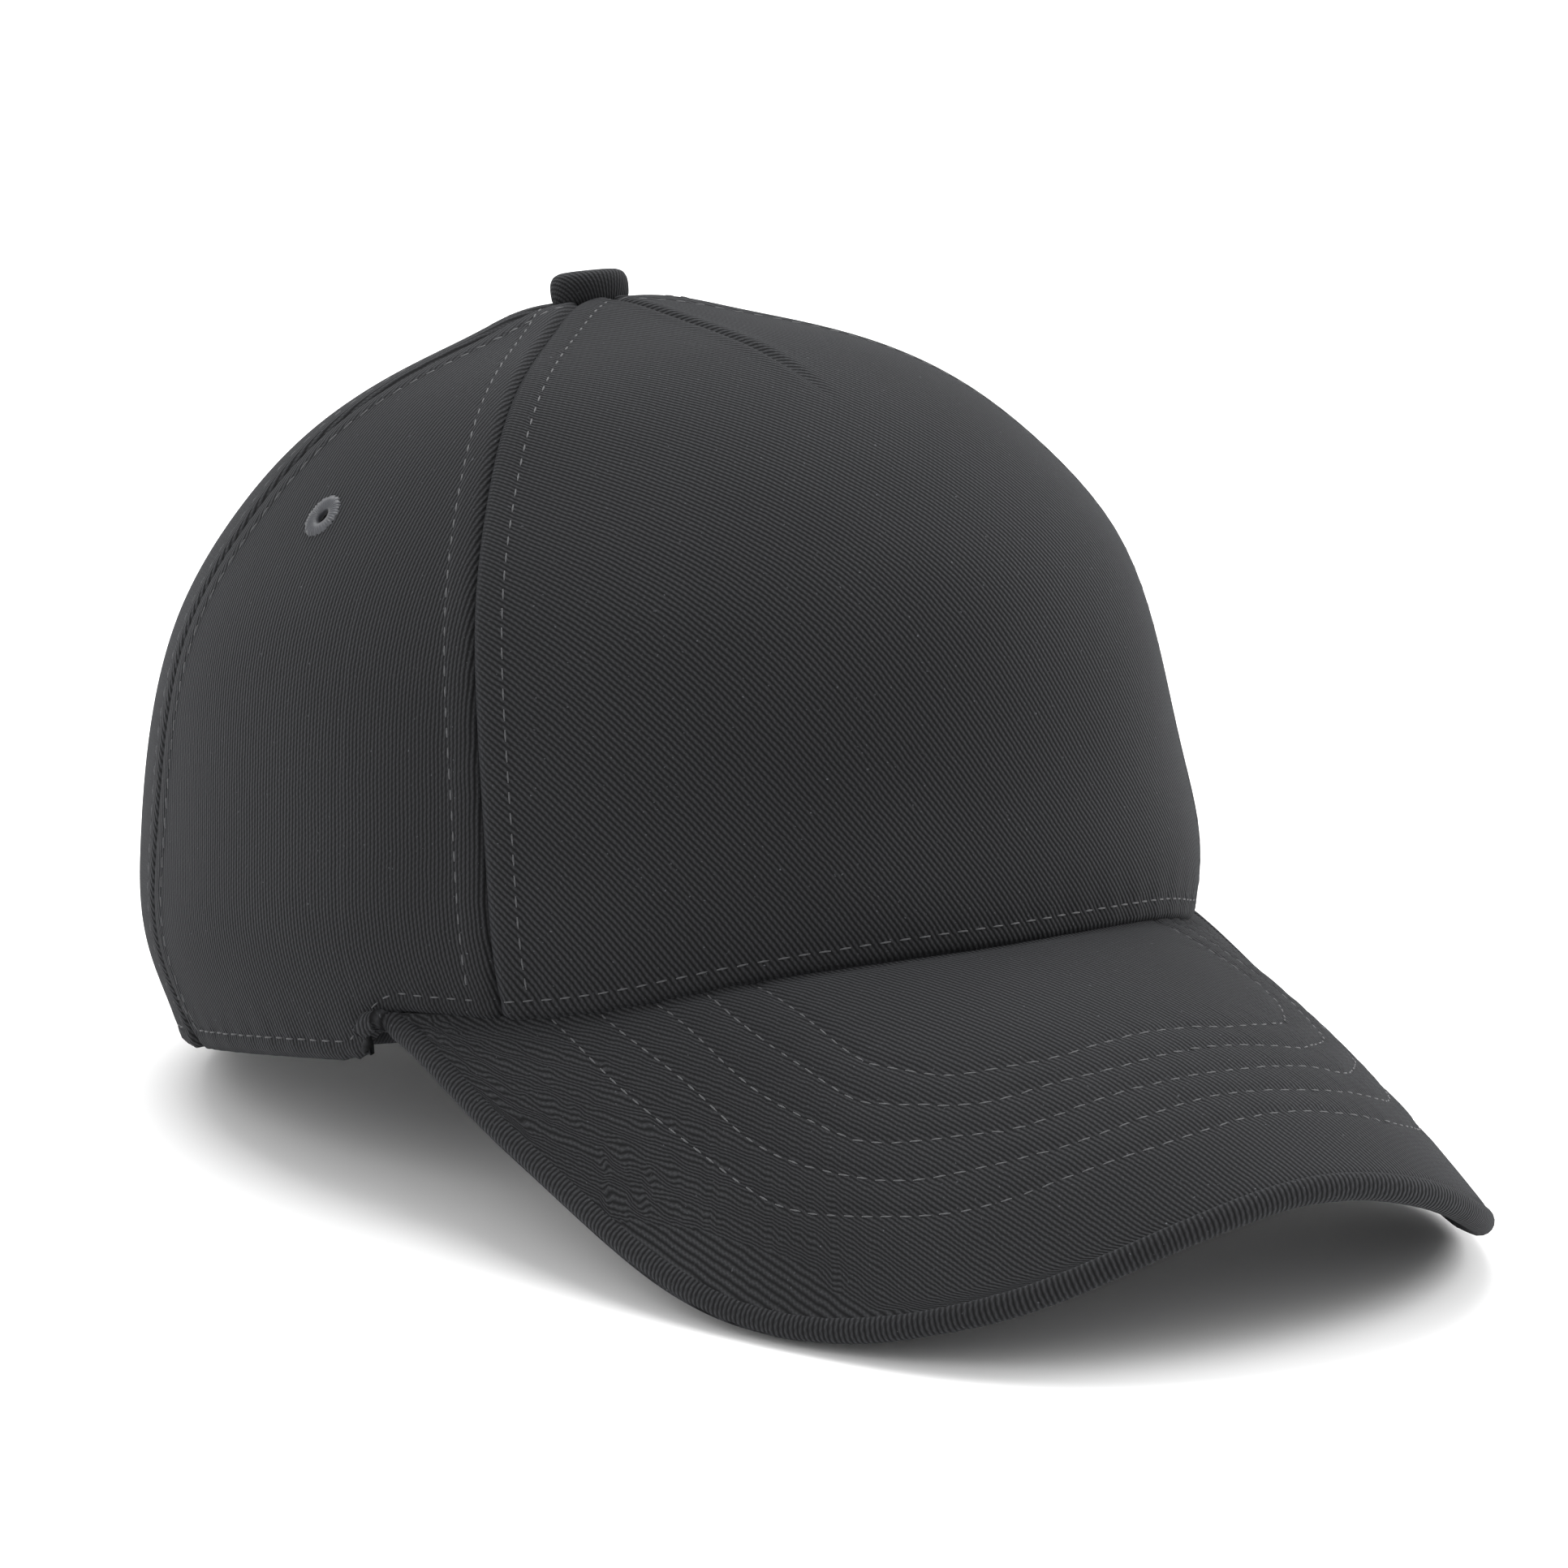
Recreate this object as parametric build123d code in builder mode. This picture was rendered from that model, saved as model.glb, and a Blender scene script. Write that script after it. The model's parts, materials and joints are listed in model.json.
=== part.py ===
# Five-panel baseball cap with a pre-curved peak, resting on the two sides of its peak and its
# rear rim. Millimetres. X is across (+X the wearer's left), the peak points to -Y, +Z is up.
# The crown is built on the rim plane, which leans back by rim_tilt. On that plane x is across,
# y runs to the back of the head and the normal rises to the button.
from build123d import *
from math import atan2, cos, degrees, hypot, radians, sin
import os

os.makedirs("parts", exist_ok=True)

# ---------------------------------------------------------------- driving dimensions
rim_front = 101.0  # outside reach of the crown, 12 per cent of the way up
rim_side = 85.0
rim_back = 106.0
crown_height = 119.3  # rim plane to the crown's top
top_setback = 8.0  # the button sits behind the middle of the head
top_flat = 5.0  # radius of the small flat under the button
rim_tilt = 10.44  # degrees, front up
rim_centre = (0, 37.35, 20.67)  # middle of the rim plane above the surface it rests on
front_rise = 10.0  # the rim arches up over the forehead
back_dip = 5.0  # and drops behind

seam_angle_front = 47.6  # degrees from straight ahead, seen along the rim's normal
seam_mid_back = (62.0, 20.0)  # the side and back panels' seam bows out through this point
seam_end_back = (80.0, 41.0)
seam_gap = 0.3
dart_width = 0.5
dart_end = 79.0  # how far in front of the middle the dart dies out

panel_thickness = 1.0
stiffener_thickness = 0.6
stiffener_margin = 4.0  # the buckram stops this far short of the seams
layer_gap = 0.05
tape_thickness = 0.5
tape_width = 12.0
tape_start = 21.0  # the tapes stop short of the middle, where five seams meet
sweatband_height = 32.0
sweatband_thickness = 1.1
interlining_thickness = 0.5
label_size = (30.0, 14.0)
label_thickness = 0.35
label_place = (12.0, 18.0)  # behind the middle, and above the rim plane
rim_recess = 1.0  # the band's lower edge is this much above the rim

arch_width = 78.0
arch_height = 46.0
arch_tape_width = 10.0

strap_width = 16.0
strap_thickness = 1.1
strap_low = 6.0  # lower edge above the rim plane
strap_side_room = 15.0  # the strap's round arc is this much tighter than the crown's side
strap_clearance = 0.35
strap_setback = 1.0  # from the arch's tape to the strap
strap_from = -48.0  # degrees round that arc from straight back, + towards the wearer's left
strap_to = 40.0

buckle_at = 15.0  # degrees round the strap's arc
buckle_length = 23.0
buckle_wall = 1.5
buckle_base = 1.0
pin_radius = 0.8
pin_clearance = 0.05
lever_thickness = 1.1
lever_gap = 0.35
bar_radius = 0.8
tab_thickness = 0.9
tab_width = 14.0

peak_reach = 147.5  # from the line between the peak's corners to its front edge
peak_half_width = 79.6
peak_power = 2.35  # 2 would be an ellipse, more is squarer
peak_corner_angle = 69.3  # degrees round the rim from the front
board_thickness = 2.2
cover_thickness = 0.65
edge_roll = 1.4  # cloth beyond the board's edge
peak_seat = 0.3  # the middle of the peak starts this much below the crown's edge
peak_gap = 0.2  # between the peak and the crown's skin
peak_dip = 0.165  # fall per millimetre along the middle
peak_dip_growth = 0.00309
peak_side_fall = 8.8706  # from the middle to each side, where the peak leaves the crown
peak_side_growth = 0.75654  # and more of it per millimetre further out
peak_side_tuck = 44.162  # turned down steeply at the very side

button_radius = 6.8
button_height = 4.9
button_cloth = 0.7
button_shell_wall = 0.5
tack_radius = 1.2
tack_plate_radius = 5.0
eyelet_radius = 4.0
eyelet_hole = 1.35
eyelet_pierce = 2.6  # hole cut in the panel, which the thread ring fills
eyelet_proud = 0.35
# side of the head, degrees round from straight ahead, share of the crown's height
eyelet_spots = [(-1, 80.6, 0.745), (1, 80.6, 0.745), (-1, 139.0, 0.700), (1, 139.0, 0.700)]

# ---------------------------------------------------------------- the crown's form
# level, front, side and back reach, each as a share of the driving size
crown_form = [
    (-0.050, 1.000, 0.965, 0.953),
    (0.117, 1.000, 1.000, 1.000),
    (0.285, 0.990, 0.990, 1.005),
    (0.453, 0.995, 0.953, 0.934),
    (0.604, 0.970, 0.894, 0.816),
    (0.738, 0.856, 0.776, 0.660),
    (0.847, 0.693, 0.629, 0.467),
    (0.922, 0.495, 0.447, 0.278),
    (0.972, 0.267, 0.253, 0.146),
]
tilt = radians(rim_tilt)
rim_plane = Plane(origin=rim_centre, x_dir=(1, 0, 0), z_dir=(0, sin(tilt), cos(tilt)))
side_plane = Plane(origin=rim_centre, x_dir=rim_plane.y_dir, z_dir=(1, 0, 0))
rear_plane = Plane(origin=rim_centre, x_dir=(1, 0, 0), z_dir=rim_plane.y_dir * -1)
far = 160.0  # past everything, for cutting shapes


def rim_direction(v):
    """A direction given on the rim plane's own axes."""
    return rim_plane.x_dir * v.X + rim_plane.y_dir * v.Y + rim_plane.z_dir * v.Z


def crown_sections():
    """Height, front, side and back reach of each section of the crown's outside."""
    rows = [
        (level * crown_height, front * rim_front, side * rim_side, back * rim_back)
        for level, front, side, back in crown_form
    ]
    return rows + [(crown_height, top_flat, top_flat, top_flat)]


def inset_sections(inset):
    """The same sections moved inwards, square to the surface."""
    rows = crown_sections()
    moved = []
    for i, (height, *reaches) in enumerate(rows):
        below, above = rows[max(i - 1, 0)], rows[min(i + 1, len(rows) - 1)]
        rise = above[0] - below[0]
        shrink = (sum(below[1:]) - sum(above[1:])) / 3
        slope = atan2(shrink, rise) if i < len(rows) - 1 else radians(90)
        inward = inset * cos(slope)
        moved.append((height - inset * sin(slope), *[max(r - inward, 1.0) for r in reaches]))
    return moved


def setback(height):
    """How far behind the rim's middle a section's middle lies."""
    return top_setback * (max(height, 0) / crown_height) ** 2


def egg(height, front, side, back, points=24):
    """Points round one section: half an ellipse in front and half behind."""
    ring = []
    for i in range(points):
        turn = radians(360 * i / points)
        reach = front if cos(turn) > 0 else back
        ring.append((side * sin(turn), setback(height) - reach * cos(turn)))
    return ring


def crown_solid(inset):
    """The crown as a solid, its skin moved inwards by inset."""
    with BuildPart() as form:
        for height, front, side, back in inset_sections(inset):
            with BuildSketch(rim_plane.offset(height)):
                with BuildLine():
                    Spline(*egg(height, front, side, back), periodic=True)
                make_face()
        loft()
    return form.part


def above_rim(lift):
    """Everything above the rim's curve, raised by lift."""
    front = front_rise * (far / rim_front) ** 2
    back = -back_dip * (far / rim_back) ** 2
    with BuildPart() as region:
        with BuildSketch(side_plane):
            with BuildLine():
                Bezier((-far, front + lift), (-far / 2, lift), (0, lift))
                Bezier((0, lift), (far / 2, lift), (far, back + lift))
                Polyline((far, back + lift), (far, far), (-far, far), (-far, front + lift))
            make_face()
        extrude(amount=far, both=True)
    return region.part


def arch_region(margin):
    """The opening at the back, widened by margin."""
    with BuildPart() as region:
        with BuildSketch(rear_plane):
            Ellipse(arch_width / 2 + margin, arch_height + margin)
        extrude(amount=-far)
    return region.part


def layer(outer, inner, lift=0.0):
    """A shell between two insets of the crown, above the rim."""
    return (crown_solid(outer) - crown_solid(inner)) & above_rim(lift)


stiffener_in = panel_thickness + layer_gap
stiffener_out = stiffener_in + stiffener_thickness
tape_in = stiffener_out + layer_gap
tape_out = tape_in + tape_thickness
strap_in = stiffener_out + strap_setback
strap_out = strap_in + strap_thickness
lining_in = strap_out + strap_clearance
lining_out = lining_in + interlining_thickness
band_in = lining_out + layer_gap
band_out = band_in + sweatband_thickness

button_point = (0, top_setback)
seam_turn = radians(seam_angle_front)
seam_end_front = (far * sin(seam_turn), top_setback - far * cos(seam_turn))

outer_form = crown_solid(0)
whole_skin = (outer_form - crown_solid(panel_thickness)) & above_rim(0)
arch = arch_region(0)


corner_turn = radians(peak_corner_angle)
corner_y = -rim_front * cos(corner_turn)
peak_thickness = board_thickness + 2 * cover_thickness + 2 * layer_gap


def peak_top(x, y):
    """Height of the peak's upper face above the rim plane."""
    out = -y - rim_front + 1.0
    middle = front_rise - peak_seat - peak_dip * out - peak_dip_growth * out**2
    share = x / peak_half_width
    return middle - (peak_side_fall + peak_side_growth * out) * share**2 - peak_side_tuck * share**4


def peak_plate(top, bottom):
    """The peak's curved plate between two depths under its upper face, not yet cut out."""
    stations = 7
    span = peak_half_width + 8
    near, past = corner_y + 12, corner_y - peak_reach - 8
    with BuildPart() as plate:
        for i in range(stations):
            y = near + (past - near) * i / (stations - 1)
            with BuildSketch(
                Plane(rim_plane.from_local_coords(Vector(0, y, 0)), (1, 0, 0), rim_plane.y_dir * -1)
            ):
                with BuildLine():
                    across = [span * (2 * k / 8 - 1) for k in range(9)]
                    upper = Spline(*[(x, peak_top(x, y) - top) for x in across])
                    lower = Spline(*[(x, peak_top(x, y) - bottom) for x in across])
                    Line(upper @ 0, lower @ 0)
                    Line(upper @ 1, lower @ 1)
                make_face()
        loft()
    return plate.part


def peak_outline(inset):
    """The peak's plan, a squarish half-ellipse from corner to corner, moved in by inset."""
    points = []
    steps = 16
    for i in range(steps + 1):
        turn = radians(180 * i / steps)
        x = abs(cos(turn)) ** (2 / peak_power) * (1 if cos(turn) >= 0 else -1)
        y = sin(turn) ** (2 / peak_power)
        points.append((x * (peak_half_width - inset), corner_y - y * (peak_reach - inset)))
    with BuildPart() as column:
        with BuildSketch(rim_plane.offset(-far / 2)):
            with BuildLine():
                edge = Spline(*points, tangents=((0, -1), (0, 1)))
                Polyline(edge @ 1, ((edge @ 1).X, 0), ((edge @ 0).X, 0), edge @ 0)
            make_face()
        extrude(amount=far)
    return column.part


# The crown's edge sits on the peak wherever the two meet.
skin = whole_skin - (peak_plate(-layer_gap, 2 * peak_thickness) & peak_outline(-layer_gap))

def front_seam(side):
    return Line(button_point, (side * seam_end_front[0], seam_end_front[1]))


def back_seam(side):
    """The bowed seam between a side panel and a back panel, run on past the rim."""
    bow = ThreePointArc(
        button_point,
        (side * seam_mid_back[0], seam_mid_back[1]),
        (side * seam_end_back[0], seam_end_back[1]),
    )
    return bow, Line(bow @ 1, bow @ 1 + (bow % 1) * far / 2)


def round_tack():
    """The hole for the button's tack."""
    with Locations(rim_plane):
        with Locations((0, top_setback, crown_height)):
            Cylinder(tack_radius + 0.1, 30, mode=Mode.SUBTRACT)


def surface_plane(side, turn_deg, level):
    """A plane on the crown's outside, facing outwards, at a turn round from the front."""
    turn = radians(turn_deg)
    height = level * crown_height
    middle = rim_plane.from_local_coords(Vector(0, setback(height), height))
    outwards = rim_direction(Vector(side * sin(turn), -cos(turn), 0))
    hits = []
    for face in outer_form.faces():
        hits += face.find_intersection_points(Axis(middle, outwards))
    point, normal = max(hits, key=lambda hit: (hit[0] - middle).dot(outwards))
    return Plane(origin=point, x_dir=normal.cross(rim_plane.z_dir), z_dir=normal)


def eyelet_holes():
    """Pierce the panel where its eyelets go."""
    for side, turn, level in eyelet_spots:
        with Locations(surface_plane(side, turn, level)):
            Cylinder(eyelet_pierce, 12, mode=Mode.SUBTRACT)


# ---------------------------------------------------------------- crown panels
with BuildPart() as front_panel:
    add(skin)
    with BuildSketch(rim_plane.offset(-20)):
        with BuildLine():
            Polyline(
                (-seam_end_front[0] + seam_gap, seam_end_front[1]),
                (0, top_setback - seam_gap),
                (seam_end_front[0] - seam_gap, seam_end_front[1]),
                (seam_end_front[0] - seam_gap, -far),
                (-seam_end_front[0] + seam_gap, -far),
                close=True,
            )
        make_face()
    extrude(amount=far, mode=Mode.INTERSECT)
    with BuildSketch(rim_plane):
        with Locations((0, -dart_end / 2 + top_setback)):
            Rectangle(dart_width, dart_end)
    extrude(amount=far, mode=Mode.SUBTRACT)
    round_tack()
front_panel.part.label = "front_panel"
export_step(front_panel.part, "parts/front_panel.step")

for side, hand in ((-1, "right"), (1, "left")):
    with BuildPart() as side_panel:
        add(skin)
        with BuildSketch(rim_plane.offset(-20)):
            with BuildLine():
                first = front_seam(side)
                bow, run_on = back_seam(side)
                Polyline(run_on @ 1, (side * far, far / 2), (side * far, -far), first @ 1)
            make_face()
            with BuildLine():
                front_seam(side)
                back_seam(side)
            trace(line_width=seam_gap, mode=Mode.SUBTRACT)
        extrude(amount=far, mode=Mode.INTERSECT)
        round_tack()
        eyelet_holes()
    side_panel.part.label = "side_panel_" + hand
    export_step(side_panel.part, "parts/side_panel_" + hand + ".step")

    with BuildPart() as back_panel:
        add(skin)
        with BuildSketch(rim_plane.offset(-20)):
            with BuildLine():
                bow, run_on = back_seam(side)
                Polyline(run_on @ 1, (side * far, far), (0, far), button_point)
            make_face()
            with BuildLine():
                back_seam(side)
                Line(button_point, (0, far))
            trace(line_width=seam_gap, mode=Mode.SUBTRACT)
        extrude(amount=far, mode=Mode.INTERSECT)
        add(arch, mode=Mode.SUBTRACT)
        round_tack()
        eyelet_holes()
    back_panel.part.label = "back_panel_" + hand
    export_step(back_panel.part, "parts/back_panel_" + hand + ".step")

# ---------------------------------------------------------------- linings inside the crown
with BuildPart() as front_stiffener:
    add(layer(stiffener_in, stiffener_out, rim_recess))
    with BuildSketch(rim_plane.offset(-20)):
        with BuildLine():
            Polyline(
                (-seam_end_front[0] + stiffener_margin * 2, seam_end_front[1]),
                (0, top_setback - tape_start),
                (seam_end_front[0] - stiffener_margin * 2, seam_end_front[1]),
                (seam_end_front[0], -far),
                (-seam_end_front[0], -far),
                close=True,
            )
        make_face()
    extrude(amount=far, mode=Mode.INTERSECT)
front_stiffener.part.label = "front_stiffener"
export_step(front_stiffener.part, "parts/front_stiffener.step")

tape_shell = layer(tape_in, tape_out, rim_recess)


def tape_piece(draw_line):
    """The strip of the tape shell that lies along one seam."""
    with BuildPart() as strip:
        add(tape_shell)
        with BuildSketch(rim_plane.offset(-20)):
            with BuildLine():
                draw_line()
            trace(line_width=tape_width)
            with Locations(button_point):
                Circle(tape_start, mode=Mode.SUBTRACT)
        extrude(amount=far, mode=Mode.INTERSECT)
    return strip.part


seam_lines = {
    "seam_tape_front_right": lambda: front_seam(-1),
    "seam_tape_front_left": lambda: front_seam(1),
    "seam_tape_back_right": lambda: back_seam(-1),
    "seam_tape_back_left": lambda: back_seam(1),
    "seam_tape_dart": lambda: Line(button_point, (0, -dart_end)),
    "seam_tape_centre_back": lambda: Line(button_point, (0, far)),
}
for name, draw_line in seam_lines.items():
    tape = tape_piece(draw_line)
    if name == "seam_tape_centre_back":
        tape -= arch_region(arch_tape_width + layer_gap)
    tape.label = name
    export_step(tape, "parts/" + name + ".step")

with BuildPart() as back_arch_tape:
    add(layer(stiffener_in, stiffener_out, rim_recess))
    add(arch_region(arch_tape_width), mode=Mode.INTERSECT)
    add(arch, mode=Mode.SUBTRACT)
    with BuildSketch(rear_plane.offset(-rim_back / 3)):
        Rectangle(far * 2, far * 2)
    extrude(amount=-far, mode=Mode.INTERSECT)
back_arch_tape.part.label = "back_arch_tape"
export_step(back_arch_tape.part, "parts/back_arch_tape.step")

# ---------------------------------------------------------------- strap's round arc
strap_radius = rim_side - strap_side_room
strap_middle = (strap_in + strap_out) / 2
strap_axis = (0, rim_back - strap_middle - strap_radius)
strap_high = strap_low + strap_width


def wall_reach(height):
    """Back reach of the crown's outside, a parabola through its three lowest sections."""
    (h0, *_, r0), (h1, *_, r1), (h2, *_, r2) = crown_sections()[:3]
    first = r0 * (height - h1) * (height - h2) / ((h0 - h1) * (h0 - h2))
    second = r1 * (height - h0) * (height - h2) / ((h1 - h0) * (h1 - h2))
    third = r2 * (height - h0) * (height - h1) / ((h2 - h0) * (h2 - h1))
    return first + second + third


def round_band(outer, inner, low, high, start, end):
    """A band that follows the back wall's profile, turned about the strap's axis.
    start and end are degrees from straight back, + towards the wearer's left."""
    axis_point = rim_plane.from_local_coords(Vector(*strap_axis, 0))
    turn = radians(start)
    profile_plane = Plane(
        origin=axis_point,
        x_dir=rim_direction(Vector(sin(turn), cos(turn), 0)),
        z_dir=rim_direction(Vector(cos(turn), -sin(turn), 0)),
    )
    middle = (low + high) / 2
    reach = [wall_reach(h) - strap_axis[1] for h in (low, middle, high)]
    with BuildPart() as band:
        with BuildSketch(profile_plane):
            with BuildLine():
                outside = ThreePointArc(
                    (reach[0] - outer, low), (reach[1] - outer, middle), (reach[2] - outer, high)
                )
                inside = ThreePointArc(
                    (reach[0] - inner, low), (reach[1] - inner, middle), (reach[2] - inner, high)
                )
                Line(outside @ 0, inside @ 0)
                Line(outside @ 1, inside @ 1)
            make_face()
        revolve(axis=Axis(axis_point, rim_plane.z_dir * -1), revolution_arc=end - start)
    return band.part


adjuster_strap = round_band(strap_in, strap_out, strap_low, strap_high, strap_from, strap_to)
adjuster_strap.label = "adjuster_strap"
export_step(adjuster_strap, "parts/adjuster_strap.step")

# ---------------------------------------------------------------- buckle
buckle_turn = radians(buckle_at)
buckle_middle = strap_low + strap_width / 2
buckle_reach = wall_reach(buckle_middle) - strap_middle - strap_axis[1]
wall_lean = atan2(wall_reach(strap_high) - wall_reach(strap_low), strap_width)
buckle_level = Vector(sin(buckle_turn), cos(buckle_turn), 0)
buckle_out = buckle_level * cos(wall_lean) - Vector(0, 0, 1) * sin(wall_lean)
buckle_along = Vector(cos(buckle_turn), -sin(buckle_turn), 0)


# x runs along the strap to the wearer's left, y down the wall, z outwards
buckle_plane = Plane(
    origin=rim_plane.from_local_coords(
        Vector(*strap_axis, buckle_middle) + buckle_level * buckle_reach
    ),
    x_dir=rim_direction(buckle_along),
    z_dir=rim_direction(buckle_out),
)
# the same place with y outwards and z up the wall, for side views of the buckle
buckle_side = Plane(buckle_plane.origin, buckle_plane.x_dir, buckle_plane.y_dir * -1)
half_length = buckle_length / 2
strap_sag = strap_radius - (strap_radius**2 - half_length**2) ** 0.5
base_top = -strap_thickness / 2 - strap_sag - strap_clearance
base_bottom = base_top - buckle_base
inner_width = strap_width + 2 * strap_clearance
outer_width = inner_width + 2 * buckle_wall
pin_height = strap_thickness / 2 + lever_gap + pin_radius + pin_clearance + 0.7
pin_x = -half_length + 3.0
wall_top = pin_height + pin_radius + 0.8
bar_x = half_length - bar_radius
tab_in = lining_in + layer_gap
loop_radius = bar_radius + layer_gap + tab_thickness
bar_depth = base_top - loop_radius
base_end = bar_x - loop_radius - 0.1
barrel_radius = pin_height - strap_thickness / 2 - lever_gap
lever_half_width = strap_width / 2 - 0.2
lever_reach = half_length - 0.5

with BuildPart() as buckle_frame:
    with BuildSketch(buckle_side):
        with BuildLine():
            Polyline(
                (-half_length, base_bottom),
                (-half_length, wall_top - 1.0),
                (pin_x + 2.5, wall_top - 1.0),
                (pin_x + 5.0, strap_thickness),
                (half_length, strap_thickness),
                (half_length, bar_depth - bar_radius - 0.5),
                (bar_x - bar_radius - 1.0, bar_depth - bar_radius - 0.5),
                (bar_x - bar_radius - 2.0, base_bottom),
                close=True,
            )
        make_face()
    extrude(amount=outer_width / 2, both=True)
    with BuildSketch(buckle_side):
        Rectangle(far, far)
        with Locations(((base_end - half_length) / 2, (base_top + base_bottom) / 2)):
            Rectangle(base_end + half_length, buckle_base, mode=Mode.SUBTRACT)
    extrude(amount=inner_width / 2, both=True, mode=Mode.SUBTRACT)
    with BuildSketch(buckle_side):
        with Locations((bar_x, bar_depth)):
            Circle(bar_radius)
    extrude(amount=inner_width / 2, both=True)
    with BuildSketch(buckle_side):
        with Locations((pin_x, pin_height)):
            Circle(pin_radius)
    extrude(amount=outer_width / 2, both=True, mode=Mode.SUBTRACT)
buckle_frame.part.label = "buckle_frame"
export_step(buckle_frame.part, "parts/buckle_frame.step")

with BuildPart() as buckle_pin:
    with BuildSketch(buckle_side):
        with Locations((pin_x, pin_height)):
            Circle(pin_radius)
    extrude(amount=outer_width / 2, both=True)
buckle_pin.part.label = "buckle_pin"
export_step(buckle_pin.part, "parts/buckle_pin.step")

with BuildPart() as buckle_lever:
    with BuildSketch(buckle_side):
        with Locations((pin_x, pin_height)):
            Circle(barrel_radius)
        with BuildLine():
            top = pin_height + barrel_radius - 0.3
            rounded = FilletPolyline(
                (pin_x, top - lever_thickness),
                (lever_reach - 3.0, top - lever_thickness),
                (lever_reach, top - lever_thickness + 1.6),
                (lever_reach, top + 1.6),
                (lever_reach - 1.0, top + 1.6),
                (lever_reach - 3.4, top),
                (pin_x, top),
                radius=0.4,
            )
            Line(rounded @ 1, rounded @ 0)
        make_face()
        with Locations((pin_x, pin_height)):
            Circle(pin_radius + pin_clearance, mode=Mode.SUBTRACT)
    extrude(amount=lever_half_width, both=True)
buckle_lever.part.label = "buckle_lever"
export_step(buckle_lever.part, "parts/buckle_lever.step")

# The cloth loop goes round the frame's bar and runs back under the band.
tab_angle = buckle_at + degrees(bar_x / strap_radius)
tab_low = buckle_middle - tab_width / 2
tab_end = -strap_from
with BuildPart() as buckle_tab:
    with BuildSketch(buckle_side):
        with Locations((bar_x, bar_depth)):
            Circle(loop_radius)
            Circle(bar_radius + layer_gap, mode=Mode.SUBTRACT)
    extrude(amount=tab_width / 2, both=True)
    add(round_band(tab_in, tab_in + tab_thickness, tab_low, tab_low + tab_width, tab_angle, tab_end))
buckle_tab.part.label = "buckle_tab"
export_step(buckle_tab.part, "parts/buckle_tab.step")

# ---------------------------------------------------------------- sweatband
tab_pocket = round_band(
    tab_in - layer_gap,
    tab_in + tab_thickness + layer_gap,
    tab_low - layer_gap,
    tab_low + tab_width + layer_gap,
    tab_angle,
    tab_end + 1,
)


def below_band_top(height):
    """Everything up to the sweatband's upper edge, which runs level with the rim's curve."""
    return above_rim(rim_recess) - above_rim(height)


for name, outer, inner, trim in (
    ("sweatband", band_in, band_out, 0.0),
    ("sweatband_interlining", lining_in, lining_out, 2.0),
):
    with BuildPart() as ring:
        add(crown_solid(outer) - crown_solid(inner))
        add(below_band_top(sweatband_height - trim) & above_rim(rim_recess + trim), mode=Mode.INTERSECT)
        add(arch_region(0), mode=Mode.SUBTRACT)
        add(tab_pocket, mode=Mode.SUBTRACT)
    ring.part.label = name
    export_step(ring.part, "parts/" + name + ".step")

# ---------------------------------------------------------------- blank size label
with BuildPart() as size_label:
    add(crown_solid(band_out + layer_gap) - crown_solid(band_out + layer_gap + label_thickness))
    with BuildSketch(side_plane):
        with Locations(label_place):
            Rectangle(*label_size)
    extrude(amount=far, mode=Mode.INTERSECT)
size_label.part.label = "size_label"
export_step(size_label.part, "parts/size_label.step")

# ---------------------------------------------------------------- peak
crown_clear = crown_solid(-peak_gap)
peak_shape = peak_outline(0) - crown_clear
board_shape = peak_outline(edge_roll) - crown_clear
board_top = cover_thickness + layer_gap
board_bottom = board_top + board_thickness

peak_board = peak_plate(board_top, board_bottom) & board_shape
peak_board.label = "peak_board"
export_step(peak_board, "parts/peak_board.step")

edge_wall = peak_plate(cover_thickness, board_bottom) & (
    peak_shape - peak_outline(edge_roll - layer_gap)
)
peak_top_cover = (peak_plate(0, cover_thickness) & peak_shape) + edge_wall
peak_top_cover.label = "peak_top_cover"
export_step(peak_top_cover, "parts/peak_top_cover.step")

peak_under_cover = peak_plate(board_bottom + layer_gap, peak_thickness) & peak_shape
peak_under_cover.label = "peak_under_cover"
export_step(peak_under_cover, "parts/peak_under_cover.step")

# ---------------------------------------------------------------- button
top_plane = Plane(
    rim_plane.from_local_coords(Vector(0, top_setback, crown_height)),
    (1, 0, 0),
    rim_plane.z_dir,
)
profile_plane = Plane(top_plane.origin, (1, 0, 0), rim_plane.y_dir * -1)
spin_axis = Axis(top_plane.origin, rim_plane.z_dir)
shell_radius = button_radius - button_cloth
shell_height = button_height - button_cloth
button_lift = 0.4  # the button stands on the seams, just clear of the cloth


def dome(radius, height):
    """A low solid dome on the button's axis."""
    with BuildPart() as form:
        with BuildSketch(profile_plane):
            with BuildLine():
                ThreePointArc((0, height), (radius * 0.78, height * 0.68), (radius, 0))
                Polyline((radius, 0), (0, 0), (0, height))
            make_face()
        revolve(axis=spin_axis)
    return form.part


button_cover = dome(button_radius, button_height) - dome(shell_radius, shell_height)
inner_radius = shell_radius - button_shell_wall
button_shell = dome(shell_radius - layer_gap, shell_height - layer_gap) - dome(
    inner_radius, shell_height - button_shell_wall
)

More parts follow.
